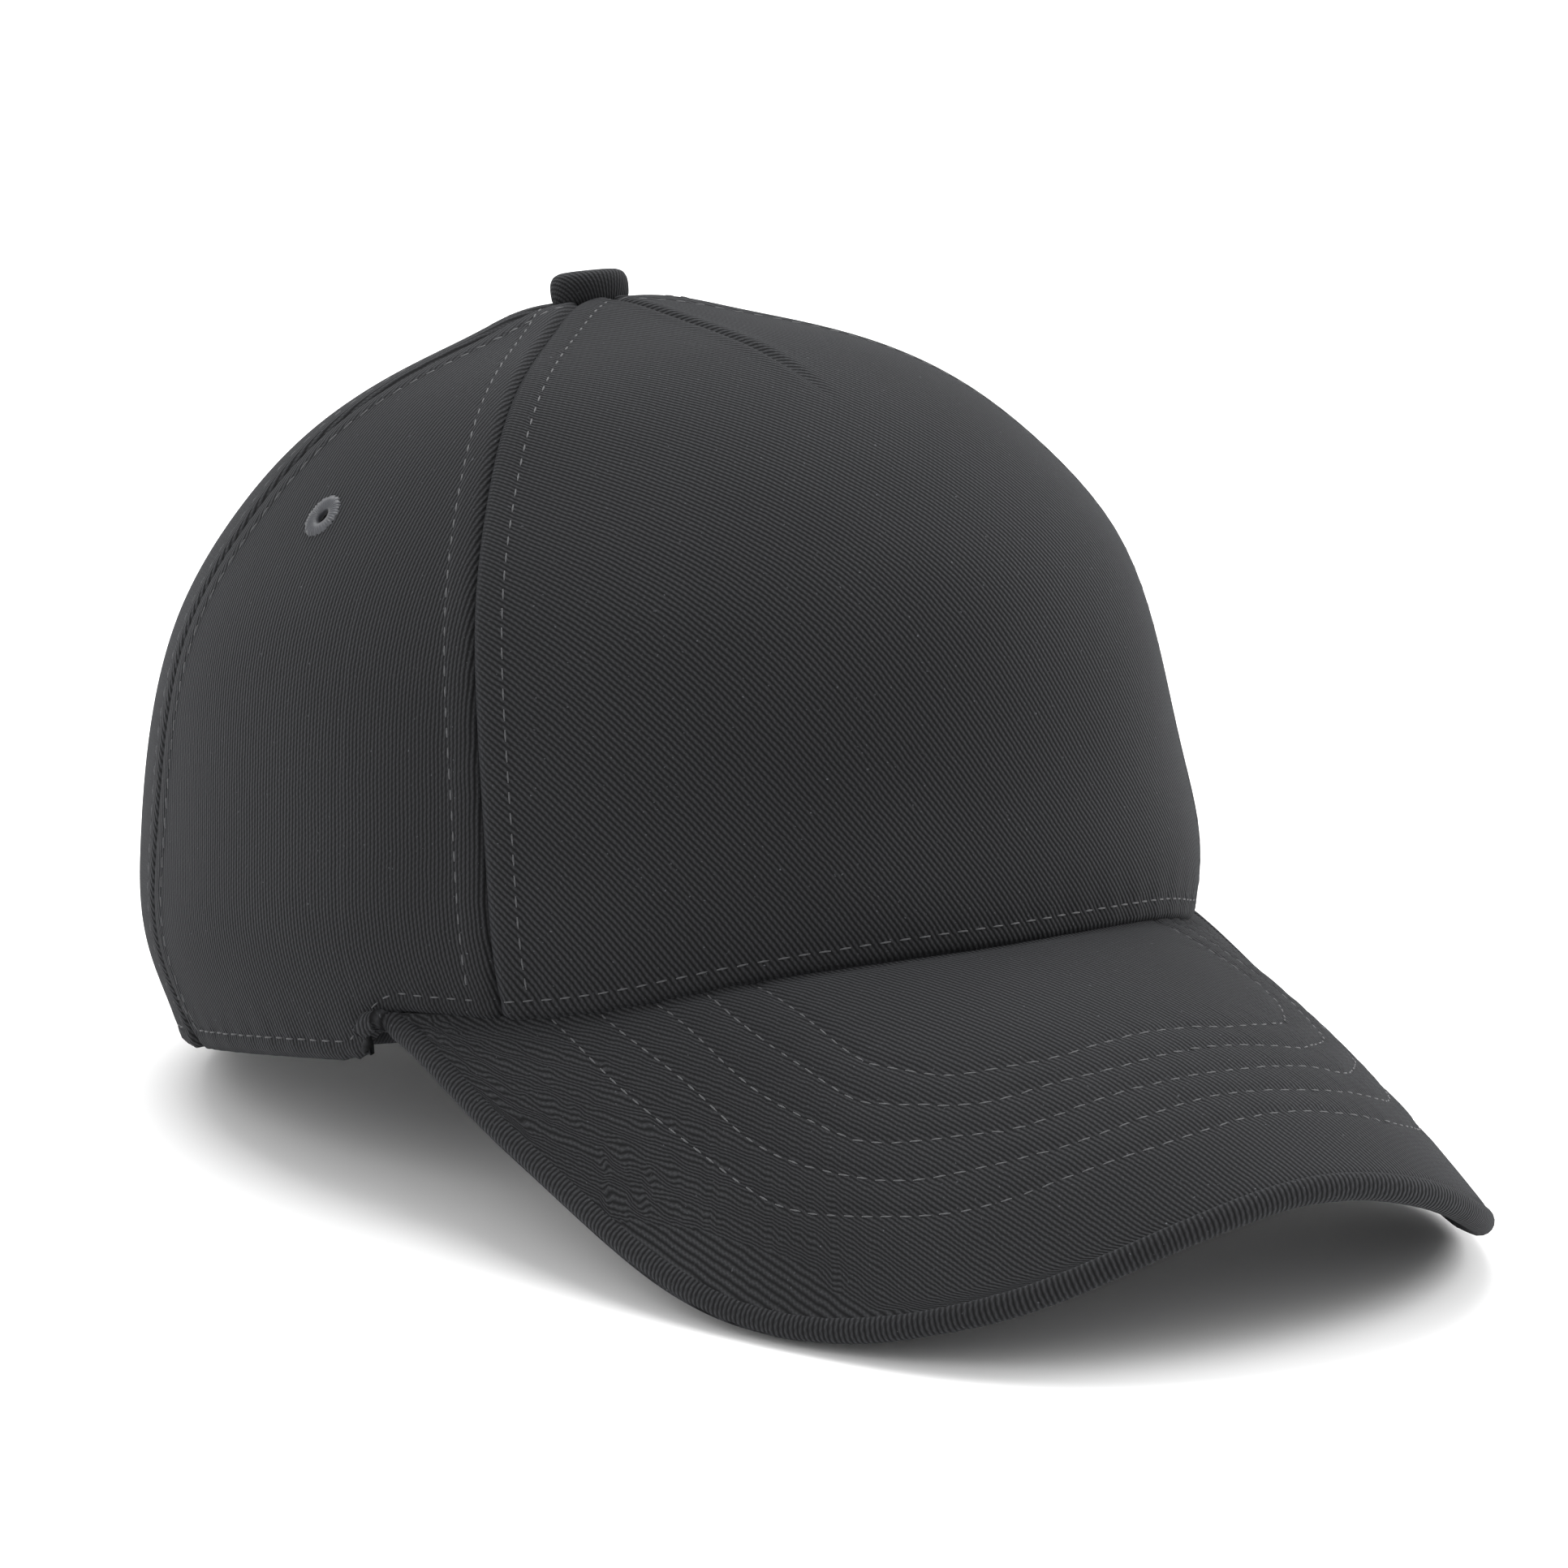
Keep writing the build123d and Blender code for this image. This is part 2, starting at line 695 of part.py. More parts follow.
post_top = shell_height - button_shell_wall - 2 * layer_gap
with BuildPart() as button_tack:
    with BuildSketch(profile_plane):
        with BuildLine():
            plate_top = -panel_thickness - button_lift - tape_thickness - 0.5
            Polyline(
                (0, post_top),
                (tack_radius, post_top - 0.3),
                (tack_radius, plate_top),
                (tack_plate_radius, plate_top - 0.3),
                (tack_plate_radius, plate_top - 0.9),
                (0, plate_top - 0.9),
                close=True,
            )
        make_face()
    revolve(axis=spin_axis)
for name, piece in (
    ("button_cover", button_cover),
    ("button_shell", button_shell),
    ("button_tack", button_tack.part),
):
    seated = piece.moved(Location(rim_plane.z_dir * button_lift))
    seated.label = name
    export_step(seated, "parts/" + seated.label + ".step")

# ---------------------------------------------------------------- stitched eyelets
for number, (side, turn, level) in enumerate(eyelet_spots):
    hand = "right" if side < 0 else "left"
    place = "side" if number < 2 else "back"
    spot_plane = surface_plane(side, turn, level)
    with BuildPart() as eyelet:
        with BuildSketch(spot_plane.offset(-panel_thickness - eyelet_proud)):
            Circle(eyelet_pierce - layer_gap)
        extrude(amount=panel_thickness + 2 * eyelet_proud)
        with BuildSketch(spot_plane.offset(eyelet_proud)):
            Circle(eyelet_radius)
        extrude(amount=eyelet_proud)
        with BuildSketch(spot_plane.offset(-panel_thickness - 2 * eyelet_proud)):
            Circle(eyelet_radius)
        extrude(amount=eyelet_proud)
        with BuildSketch(spot_plane.offset(-4)):
            Circle(eyelet_hole)
        extrude(amount=8, mode=Mode.SUBTRACT)
    eyelet.part.label = "eyelet_" + place + "_" + hand
    export_step(eyelet.part, "parts/eyelet_" + place + "_" + hand + ".step")
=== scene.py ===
# Five-panel baseball cap in charcoal-black cotton twill, standing on its peak and rear rim.
import json
import math

import bmesh
import bpy
import numpy as np
from mathutils import Matrix, Vector, noise
from mathutils.bvhtree import BVHTree


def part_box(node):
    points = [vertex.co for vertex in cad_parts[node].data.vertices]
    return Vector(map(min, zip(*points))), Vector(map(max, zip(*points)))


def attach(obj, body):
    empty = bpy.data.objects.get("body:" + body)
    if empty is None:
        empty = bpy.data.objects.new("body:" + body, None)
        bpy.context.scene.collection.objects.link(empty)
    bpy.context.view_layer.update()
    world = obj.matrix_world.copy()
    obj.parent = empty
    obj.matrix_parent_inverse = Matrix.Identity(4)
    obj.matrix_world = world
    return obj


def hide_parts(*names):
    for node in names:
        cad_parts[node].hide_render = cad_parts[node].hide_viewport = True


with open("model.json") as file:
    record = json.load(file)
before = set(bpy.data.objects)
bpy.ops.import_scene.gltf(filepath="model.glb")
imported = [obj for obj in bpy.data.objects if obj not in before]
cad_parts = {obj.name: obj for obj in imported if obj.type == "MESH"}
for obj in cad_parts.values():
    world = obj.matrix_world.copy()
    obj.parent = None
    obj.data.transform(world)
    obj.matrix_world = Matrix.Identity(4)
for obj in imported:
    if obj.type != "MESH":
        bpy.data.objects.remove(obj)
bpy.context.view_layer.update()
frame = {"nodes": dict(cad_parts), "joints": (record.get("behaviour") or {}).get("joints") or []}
MM = 0.001
TURN = 2 * math.pi

# ---------------------------------------------------------------- camera, floor and light
# A long lens a little above the cap, to the wearer's right of straight ahead. A white table
# and soft white panels all round, as in a small product studio.
camera_turn = math.radians(32.98)
camera_dip = math.radians(12.91)
camera_distance = 1.6412
camera_aim = Vector((0.0214, 0.0384, 0.0542))

sight = Vector((
    math.cos(camera_dip) * math.sin(camera_turn),
    math.cos(camera_dip) * math.cos(camera_turn),
    -math.sin(camera_dip),
))
camera = bpy.data.objects.new("camera", bpy.data.cameras.new("camera"))
bpy.context.scene.collection.objects.link(camera)
camera.location = camera_aim - sight * camera_distance
camera.rotation_euler = sight.to_track_quat("-Z", "Y").to_euler()
camera.data.sensor_width = 36.0
camera.data.lens = 218.3
camera.data.clip_end = 20.0
bpy.context.scene.camera = camera


def plain_material(name, colour, roughness, metallic=0.0):
    """A material with only its shader, ready for its own nodes."""
    material = bpy.data.materials.new(name)
    material.use_nodes = True
    shader = material.node_tree.nodes["Principled BSDF"]
    shader.inputs["Base Color"].default_value = (*colour, 1.0)
    shader.inputs["Roughness"].default_value = roughness
    shader.inputs["Metallic"].default_value = metallic
    return material


def new_piece(name, bm, material, smooth=True):
    """Put a finished bmesh into the scene as one object."""
    mesh = bpy.data.meshes.new(name)
    bm.to_mesh(mesh)
    bm.free()
    if smooth:
        mesh.shade_smooth()
    mesh.materials.append(material)
    piece = bpy.data.objects.new(name, mesh)
    bpy.context.scene.collection.objects.link(piece)
    return piece


floor_mesh = bmesh.new()
bmesh.ops.create_grid(floor_mesh, x_segments=1, y_segments=1, size=8.0)
floor = new_piece("floor", floor_mesh, plain_material("white_table", (0.93, 0.93, 0.93), 0.6))

world = bpy.data.worlds.new("studio")
world.use_nodes = True
world.node_tree.nodes["Background"].inputs["Color"].default_value = (1.0, 1.0, 1.0, 1.0)
world.node_tree.nodes["Background"].inputs["Strength"].default_value = 1.0
bpy.context.scene.world = world
bpy.context.scene.view_settings.view_transform = "Standard"


def soft_light(name, place, size, power):
    """A square light panel aimed at the middle of the cap."""
    data = bpy.data.lights.new(name, "AREA")
    data.size = size
    data.energy = power
    light = bpy.data.objects.new(name, data)
    light.location = place
    aim = Vector((0.0, 0.0, 0.06)) - Vector(place)
    light.rotation_euler = aim.to_track_quat("-Z", "Y").to_euler()
    bpy.context.scene.collection.objects.link(light)


soft_light("panel_right", (1.3, -0.6, 1.1), 1.0, 22.0)
soft_light("panel_top", (0.1, 0.5, 1.7), 1.2, 24.0)
soft_light("panel_left", (-1.4, -0.5, 0.9), 1.2, 9.0)

# ---------------------------------------------------------------- twill cloth
# Cotton twill: fine ribs on the bias, each a row of short floats, with lint and a soft sheen. Its colour is
# darkened in the hollows between ribs and floats as painted shade, over a random mottle.
TWILL_PITCH = 0.84 * MM
# The first colour below is painted shade in the twill's hollows; the second is the cloth's own colour.
CLOTH_HOLLOW_SHADE = (0.0030, 0.0030, 0.0033)
CLOTH_LIGHT = (0.030, 0.0305, 0.0325)
LINT_COLOUR = (0.16, 0.165, 0.18)


def link(tree, a, b):
    tree.links.new(a, b)


def math_node(tree, kind, a, b=None, c=None):
    """A math node whose inputs are sockets or plain numbers; gives its output socket."""
    node = tree.nodes.new("ShaderNodeMath")
    node.operation = kind
    for socket, value in zip(node.inputs, (a, b, c)):
        if value is None:
            continue
        if isinstance(value, (int, float)):
            socket.default_value = value
        else:
            link(tree, value, socket)
    return node.outputs[0]


def noise_node(tree, vector, scale, detail=2.0):
    """Smooth noise over a coordinate; gives its output socket."""
    node = tree.nodes.new("ShaderNodeTexNoise")
    node.inputs["Scale"].default_value = scale
    node.inputs["Detail"].default_value = detail
    link(tree, vector, node.inputs["Vector"])
    return node.outputs["Fac"]


def colour_mix(tree, factor, low, high):
    """A mix of two colours by a factor socket; gives its output socket."""
    node = tree.nodes.new("ShaderNodeMix")
    node.data_type = "RGBA"
    node.inputs["A"].default_value = (*low, 1.0)
    node.inputs["B"].default_value = (*high, 1.0)
    link(tree, factor, node.inputs["Factor"])
    return node.outputs["Result"]


def raise_surface(tree, height, distance, strength=1.0):
    """Let a height socket bump the shader's surface."""
    node = tree.nodes.new("ShaderNodeBump")
    node.inputs["Distance"].default_value = distance
    node.inputs["Strength"].default_value = strength
    link(tree, height, node.inputs["Height"])
    link(tree, node.outputs["Normal"], tree.nodes["Principled BSDF"].inputs["Normal"])


def weave_tree(name, inputs, outputs):
    """An empty weave: its node tree, its inputs, its sink and the two flat coordinates."""
    group = bpy.data.node_groups.new(name, "ShaderNodeTree")
    group.interface.new_socket(name="Flat", in_out="INPUT", socket_type="NodeSocketVector")
    for label in inputs:
        group.interface.new_socket(name=label, in_out="INPUT", socket_type="NodeSocketFloat")
    for label in outputs:
        group.interface.new_socket(name=label, in_out="OUTPUT", socket_type="NodeSocketFloat")
    source = group.nodes.new("NodeGroupInput")
    sink = group.nodes.new("NodeGroupOutput")
    parts = group.nodes.new("ShaderNodeSeparateXYZ")
    link(group, source.outputs["Flat"], parts.inputs[0])
    return group, source.outputs, sink.inputs, parts.outputs[0], parts.outputs[1]


def weave_node(tree, group, pitch):
    """One use of a weave on a piece's own flat pattern."""
    pattern = tree.nodes.new("ShaderNodeUVMap")
    pattern.uv_map = "pattern"
    weave = tree.nodes.new("ShaderNodeGroup")
    weave.node_tree = group
    weave.inputs["Pitch"].default_value = pitch
    link(tree, pattern.outputs["UV"], weave.inputs["Flat"])
    return weave


def wave(tree, phase):
    """A wave from 0 to 1, one for each whole step of the phase."""
    swing = math_node(tree, "COSINE", math_node(tree, "MULTIPLY", phase, TURN))
    return math_node(tree, "MULTIPLY_ADD", swing, 0.5, 0.5)


def build_weave_group():
    """Ribs of twill from a cloth-flat coordinate in metres."""
    group, given, sink, u, v = weave_tree("twill_weave", ["Rib angle", "Pitch"], ["Height", "Shade and mottle", "Lint"])
    flat, angle, pitch = given["Flat"], given["Rib angle"], given["Pitch"]
    sine = math_node(group, "SINE", angle)
    cosine = math_node(group, "COSINE", angle)
    across = math_node(
        group, "SUBTRACT", math_node(group, "MULTIPLY", u, sine), math_node(group, "MULTIPLY", v, cosine)
    )
    along = math_node(
        group, "ADD", math_node(group, "MULTIPLY", u, cosine), math_node(group, "MULTIPLY", v, sine)
    )
    wander = math_node(group, "MULTIPLY", noise_node(group, flat, 260.0), 0.55)
    ribs = math_node(group, "ADD", math_node(group, "DIVIDE", across, pitch), wander)
    crest = wave(group, ribs)
    stagger = math_node(group, "MULTIPLY", math_node(group, "FLOOR", ribs), 0.37)
    float_length = math_node(group, "MULTIPLY", pitch, 1.15)
    float_run = math_node(group, "ADD", math_node(group, "DIVIDE", along, float_length), stagger)
    knuckle = wave(group, float_run)
    height = math_node(group, "MULTIPLY", crest, math_node(group, "MULTIPLY_ADD", knuckle, 0.4, 0.6))
    fuzz = noise_node(group, flat, 2600.0, 3.0)
    rough_height = math_node(group, "MULTIPLY_ADD", fuzz, 0.35, height)
    broad = noise_node(group, flat, 22.0, 3.0)
    # Painted shade: the tone follows the rib height and is near black in the hollows, times a broad random
    # mottle of the cloth.
    tone = math_node(
        group,
        "MULTIPLY",
        math_node(group, "MULTIPLY_ADD", height, 0.95, 0.05),
        math_node(group, "MULTIPLY_ADD", broad, 0.7, 0.65),
    )
    speck = group.nodes.new("ShaderNodeMapRange")
    speck.inputs["From Min"].default_value = 0.70
    speck.inputs["From Max"].default_value = 0.80
    link(group, noise_node(group, flat, 1500.0, 2.0), speck.inputs["Value"])
    link(group, rough_height, sink["Height"])
    link(group, tone, sink["Shade and mottle"])
    link(group, speck.outputs["Result"], sink["Lint"])
    return group


weave_group = build_weave_group()


def twill_material(name, rib_angle, hollow_shade=CLOTH_HOLLOW_SHADE, light=CLOTH_LIGHT, pitch=TWILL_PITCH, depth=0.22 * MM):
    """Twill whose ribs run at rib_angle degrees on the piece's own flat pattern."""
    material = plain_material(name, light, 0.86)
    tree = material.node_tree
    shader = tree.nodes["Principled BSDF"]
    shader.inputs["Sheen Weight"].default_value = 0.055
    shader.inputs["Sheen Roughness"].default_value = 0.45
    shader.inputs["Sheen Tint"].default_value = (0.75, 0.78, 0.85, 1.0)
    shader.inputs["Specular IOR Level"].default_value = 0.12
    weave = weave_node(tree, weave_group, pitch)
    weave.inputs["Rib angle"].default_value = math.radians(rib_angle)
    lint = math_node(tree, "MULTIPLY", weave.outputs["Lint"], 0.5)
    colour = colour_mix(tree, lint, light, LINT_COLOUR)
    # The colour mix puts painted shade in the hollows between the ribs and the cloth's own colour on their
    # crests.
    link(tree, colour_mix(tree, weave.outputs["Shade and mottle"], hollow_shade, light), colour.node.inputs["A"])
    link(tree, colour, shader.inputs["Base Color"])
    raise_surface(tree, weave.outputs["Height"], depth, 0.9)
    return material


# ---------------------------------------------------------------- crown panels
# Five panels cut flat and sewn edge to edge, their allowances turned in and stitched down on
# each side of the seam. The front panel is backed with buckram and has a dart at its top.
SEAM_STITCH = 5.5 * MM
ALLOWANCE = 5.7 * MM
RIM_STITCH = 3.6 * MM
RIM_PUCKER = 7.9 * MM
STITCH_PITCH = 3.4 * MM
DART_LENGTH = 74 * MM
FRONT_SEAM = math.radians(47.6)  # round from straight ahead
SEAM_SURE = math.radians(103)  # down to this dip every seam is clear of the rim
LOWEST_DIP = math.radians(128)
SAFE_DIP, BELOW_RIM = math.radians(62), math.radians(140)  # always on the crown, always under it
# turns at which the rim leaves the peak's top, passes the peak's corner and runs free
CORNER_ZONE = (math.radians(61), math.radians(68), math.radians(84))
CLOTH_THICKNESS = 0.9 * MM
EYE_DEPTH = 88 * MM  # how far under the button the point lies that the crown is measured from
SIGHT = 0.3  # longest ray cast at the crown

rim_up = -Vector(frame["joints"][0]["axis"]).normalized()
across_axis = Vector((1, 0, 0))
back_axis = rim_up.cross(across_axis)


def node_tree_of(*names):
    """A ray-casting tree over the named CAD nodes."""
    points, faces = [], []
    for name in names:
        mesh = frame["nodes"][name].data
        start = len(points)
        points += [v.co.copy() for v in mesh.vertices]
        faces += [[start + i for i in p.vertices] for p in mesh.polygons]
    return BVHTree.FromPolygons(points, faces)


def middle_of(node):
    """The middle of a CAD node's box."""
    low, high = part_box(node)
    return (Vector(low) + Vector(high)) / 2


crown_eye = middle_of("button_tack") - rim_up * EYE_DEPTH


def ray_direction(turn, dip):
    """A direction from the crown's eye: turn from the front towards the left, dip down from the top."""
    level = across_axis * math.sin(turn) - back_axis * math.cos(turn)
    return level * math.sin(dip) + rim_up * math.cos(dip)


def reach(tree, turn, dip, inside=False):
    """Distance from the crown's eye to the outside (or inside) of what the tree holds, or None."""
    way = ray_direction(turn, dip)
    if inside:
        return tree.ray_cast(crown_eye, way, SIGHT)[3]
    found = tree.ray_cast(crown_eye + way * SIGHT, -way, SIGHT)[3]
    return None if found is None else SIGHT - found


def edge_between(is_hit, inside, outside):
    """Halve the gap between a value that hits and one that misses; gives the last hit."""
    for _ in range(22):
        middle = (inside + outside) / 2
        if is_hit(middle):
            inside = middle
        else:
            outside = middle
    return inside


def fill_gaps(row):
    """Replace missing distances in a row by a line between their neighbours."""
    known = np.flatnonzero(~np.isnan(row))
    return np.interp(np.arange(len(row)), known, row[known]) if len(known) else row


def fill_rows(grid):
    """Fill the gaps of a grid along each row."""
    return np.array([fill_gaps(row) for row in grid])


def run_along(line):
    """Running length along a line of points, from 0."""
    return np.concatenate([[0], np.cumsum(np.linalg.norm(np.diff(line, axis=0), axis=1))])


def walk_to(line, places, walk):
    """The points on a line at the given running lengths."""
    return np.column_stack([np.interp(places, walk, line[:, k]) for k in range(3)])


def unit(vectors):
    """Vectors of the same directions, of length 1."""
    return vectors / np.linalg.norm(vectors, axis=-1, keepdims=True)


def blur(grid, passes):
    """Smooth a grid of distances inside its borders."""
    for _ in range(passes):
        inner = grid.copy()
        inner[1:-1, 1:-1] = (
            grid[:-2, 1:-1] + grid[2:, 1:-1] + grid[1:-1, :-2] + grid[1:-1, 2:] + 4 * grid[1:-1, 1:-1]
        ) / 8
        grid = inner
    return grid


def along_rows(points):
    """Running length along each row of a grid of points."""
    steps = np.linalg.norm(np.diff(points, axis=1), axis=2)
    return np.concatenate([np.zeros((len(points), 1)), np.cumsum(steps, axis=1)], axis=1)


def grid_normals(points):
    """Outward unit normals of a grid of points round the crown's eye."""
    along = np.gradient(points, axis=1)
    down = np.gradient(points, axis=0)
    normals = np.cross(along, down)
    normals /= np.maximum(np.linalg.norm(normals, axis=2, keepdims=True), 1e-12)
    outward = (normals * (points - np.array(crown_eye))).sum(axis=2, keepdims=True)
    return normals * np.where(outward < 0, -1.0, 1.0)


def soft_noise(points, scale, seed):
    """Smooth noise at each point of a grid, about -1 to 1."""
    shift = Vector((seed * 7.3, seed * 3.1, seed * 5.7))
    rows = [[noise.noise(Vector(p) * scale + shift) for p in row] for row in points]
    return np.array(rows)


def bell(distance, centre, width):
    """A bump of height 1 round a distance."""
    return np.exp(-(((distance - centre) / width) ** 2))



class Pattern:
    """A grid of points on a cloth piece: rows run down from the crown's top, columns across."""

    def __init__(self, points, flat_u, flat_v):
        self.points, self.flat_u, self.flat_v = points, flat_u, flat_v
        self.normals = grid_normals(points)

    def push(self, amount):
        """Move the cloth out along its normals, by one distance or one for each point."""
        amount = np.broadcast_to(amount, self.flat_u.shape)
        self.points = self.points + self.normals * amount[:, :, None]
        self.normals = grid_normals(self.points)


def line_distance(points, line):
    """Distance of each grid point from a line of points, and how far along it that is."""
    flat = points.reshape(-1, 3)
    starts, steps = line[:-1], np.diff(line, axis=0)
    squares = np.maximum((steps**2).sum(axis=1), 1e-16)
    walk = np.concatenate([[0], np.cumsum(np.sqrt(squares))])
    best = np.full(len(flat), np.inf)
    run = np.zeros(len(flat))
    for start, step, square, done in zip(starts, steps, squares, walk):
        share = np.clip(((flat - start) @ step) / square, 0, 1)
        gap = np.linalg.norm(flat - start - share[:, None] * step, axis=1)
        nearer = gap < best
        best[nearer] = gap[nearer]
        run[nearer] = done + share[nearer] * math.sqrt(square)
    return best.reshape(points.shape[:2]), run.reshape(points.shape[:2])


def seam_turns(tree, seam, dips, inside):
    """The turn of a seam at each dip: fixed, or found by rays and run on straight near the rim."""
    if isinstance(seam, float):
        return np.full(len(dips), seam)
    middle, outer = seam
    turns = []
    for dip in dips:

        def hits(turn):
            return reach(tree, turn, dip, inside) is not None

        sure = dip < SEAM_SURE and hits(middle)
        turns.append(edge_between(hits, middle, outer) if sure else np.nan)
    turns = fill_gaps(np.array(turns))
    last = np.flatnonzero(dips < SEAM_SURE)[-1]
    slope = (turns[last] - turns[last - 6]) / (dips[last] - dips[last - 6])
    return np.where(dips > dips[last], turns[last] + slope * (dips - dips[last]), turns)


def crown_grid(node, low_seam, high_seam, rows, columns, top=0.035, inside=False, bridge=None):
    """A grid over a CAD shell, from seam to seam and from the top to where the shell ends."""
    tree = node_tree_of(node)
    dips = np.linspace(top, LOWEST_DIP, 80)
    lows = seam_turns(tree, low_seam, dips, inside)
    highs = seam_turns(tree, high_seam, dips, inside)

    def turn_at(share, dip):
        low, high = np.interp(dip, dips, lows), np.interp(dip, dips, highs)
        return low + (high - low) * share

    def bottom(share):
        share = min(max(share, 0.012), 0.988)

        def hits(dip):
            return reach(tree, turn_at(share, dip), dip, inside) is not None

        return edge_between(hits, SAFE_DIP, BELOW_RIM)

    fine = np.linspace(0.004, 0.996, 160)
    ends = np.array([bottom(share) for share in fine])
    rim = np.array([ray_direction(turn_at(s, d), d) * 0.095 for s, d in zip(fine, ends)])
    walk = run_along(rim)
    spread = 0.45 * fine + 0.55 * walk / walk[-1]
    shares = np.interp(np.linspace(spread[0], spread[-1], columns), spread, fine)
    shares[0], shares[-1] = 0.0, 1.0
    ends = np.interp(shares, fine, ends)
    if bridge:
        leaves, corner, runs_free = bridge
        rim_turns = np.abs(turn_at(shares, ends))
        free = (rim_turns > runs_free) & (rim_turns < runs_free + 0.3)
        rim_line = np.polyfit(rim_turns[free], ends[free], 1)
        kept = (rim_turns < leaves) | (rim_turns > runs_free)
        knots = np.append(rim_turns[kept], corner)
        values = np.append(ends[kept], np.polyval(rim_line, corner))
        order = np.argsort(knots)
        ends = np.interp(rim_turns, knots[order], values[order])
        ends = np.convolve(np.pad(ends, 3, mode="edge"), np.ones(7) / 7, mode="valid")

    grid_dips = top + (ends[None, :] - top) * np.linspace(0, 1, rows)[:, None]
    turns = turn_at(shares[None, :], grid_dips)
    radii = np.full(turns.shape, np.nan)
    for j in range(rows):
        for i in range(columns):
            found = reach(tree, turns[j, i], grid_dips[j, i], inside)
            if found is not None:
                radii[j, i] = found
    radii[:, 0], radii[:, -1] = np.nan, np.nan
    radii = fill_rows(fill_rows(radii).T).T
    radii[:, 0], radii[:, -1] = 2 * radii[:, 1] - radii[:, 2], 2 * radii[:, -2] - radii[:, -3]
    radii[-1] = 2 * radii[-2] - radii[-3]
    radii = blur(radii, 6)
    level_x = np.sin(turns) * np.sin(grid_dips)
    level_y = -np.cos(turns) * np.sin(grid_dips)
    points = np.array(crown_eye) + radii[:, :, None] * (
        level_x[:, :, None] * np.array(across_axis)
        + level_y[:, :, None] * np.array(back_axis)
        + np.cos(grid_dips)[:, :, None] * np.array(rim_up)
    )
    middle = columns // 2
    fall = run_along(points[:, middle])
    centre = (turn_at(0.0, grid_dips) + turn_at(1.0, grid_dips)) / 2
    flat_u = radii * np.sin(grid_dips) * (turns - centre)
    beyond = np.maximum(grid_dips - grid_dips[-1, middle], 0)
    flat_v = np.interp(grid_dips, grid_dips[:, middle], fall) + radii * beyond
    return Pattern(points, flat_u, flat_v)


def sewn_edge(across, along, depth=1.05):
    """A sewn edge: cloth turned in at the seam, a raised allowance and a stitched dip."""
    turned_in = -depth * bell(across, 0.0, 0.95 * MM)
    allowance = 0.34 / (1 + np.exp(np.clip((across - ALLOWANCE) / (0.35 * MM), -40, 40)))
    dents = 0.65 + 0.35 * np.cos(along * TURN / STITCH_PITCH)
    dip = -0.24 * bell(across, SEAM_STITCH, 0.75 * MM) * dents
    return (turned_in + allowance + dip) * MM


def rim_edge(across, along):
    """The rim, rounded under, with one row of stitching that dents it."""
    rounded = -0.85 * bell(across, 0.0, 0.9 * MM)
    dents = 0.6 + 0.4 * np.cos(along * TURN / STITCH_PITCH)
    dip = -0.28 * bell(across, RIM_STITCH, 0.8 * MM) * dents
    pull = 0.09 * np.sin(along * TURN / RIM_PUCKER) * bell(across, RIM_STITCH, 4.5 * MM)
    return (rounded + dip + pull) * MM


def cloth_sheet(name, pattern, material, thickness=CLOTH_THICKNESS, holes=()):
    """A sheet of cloth through a pattern's points, with its flat shape as its UV map."""
    rows, columns = pattern.flat_u.shape
    bm = bmesh.new()
    bmesh.ops.create_grid(bm, x_segments=columns - 1, y_segments=rows - 1, size=1.0)
    layer = bm.loops.layers.uv.new("pattern")
    place = {}
    for vert in bm.verts:
        i = round((vert.co.x + 1) / 2 * (columns - 1))
        j = round((vert.co.y + 1) / 2 * (rows - 1))
        place[vert] = (j, i)
    for face in bm.faces:
        for loop in face.loops:
            j, i = place[loop.vert]
            loop[layer].uv = (pattern.flat_u[j, i], pattern.flat_v[j, i])
    for vert, (j, i) in place.items():
        vert.co = pattern.points[j, i]
    bm.normal_update()
    bm.faces.ensure_lookup_table()
    sample = bm.faces[len(bm.faces) // 2]
    outward = Vector(pattern.normals[place[sample.verts[0]]])
    if sample.normal.dot(outward) < 0:
        bmesh.ops.reverse_faces(bm, faces=bm.faces[:])
    pierced = [v for v in bm.verts if any((v.co - centre).length < radius for centre, radius in holes)]
    if pierced:
        bmesh.ops.delete(bm, geom=pierced, context="VERTS")
    piece = new_piece(name, bm, material)
    wall = piece.modifiers.new("wall", "SOLIDIFY")
    wall.thickness = thickness
    wall.offset = -1.0
    return piece


def settle(piece, *nodes, body="crown", slot="crown_twill"):
    """Hide the CAD nodes a piece stands for and attach it to the body it moves with; slot, the finish it
    would take, is not used.
    """
    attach(piece, body)
    if nodes:
        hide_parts(*nodes)
    return piece


def declare(pattern):
    """Work out a sheet's width and length from its flat pattern, and its area over the cloth; nothing is
    declared and the values are not kept.
    """
    width, length = np.ptp(pattern.flat_u), np.ptp(pattern.flat_v)
    along = np.diff(pattern.points, axis=1)[:-1]
    down = np.diff(pattern.points, axis=0)[:, :-1]
    area = np.linalg.norm(np.cross(along, down), axis=2).sum()
    area = float(np.clip(area, 0.301 * width * length, width * length))


def contour(pattern, field, value, rows=True, backwards=False):
    """The line on a pattern where a field takes a value, with the normals along it."""
    points, normals = [], []
    table = field if rows else field.T
    for n in range(table.shape[0]):
        row = table[n] - value
        order = np.flatnonzero(row[:-1] * row[1:] < 0)
        if len(order) == 0:
            continue
        k = order[-1] if backwards else order[0]
        share = row[k] / (row[k] - row[k + 1])
        first = (n, k) if rows else (k, n)
        second = (n, k + 1) if rows else (k + 1, n)
        points.append(pattern.points[first] * (1 - share) + pattern.points[second] * share)
        normals.append(pattern.normals[first] * (1 - share) + pattern.normals[second] * share)
    return np.array(points), np.array(normals)


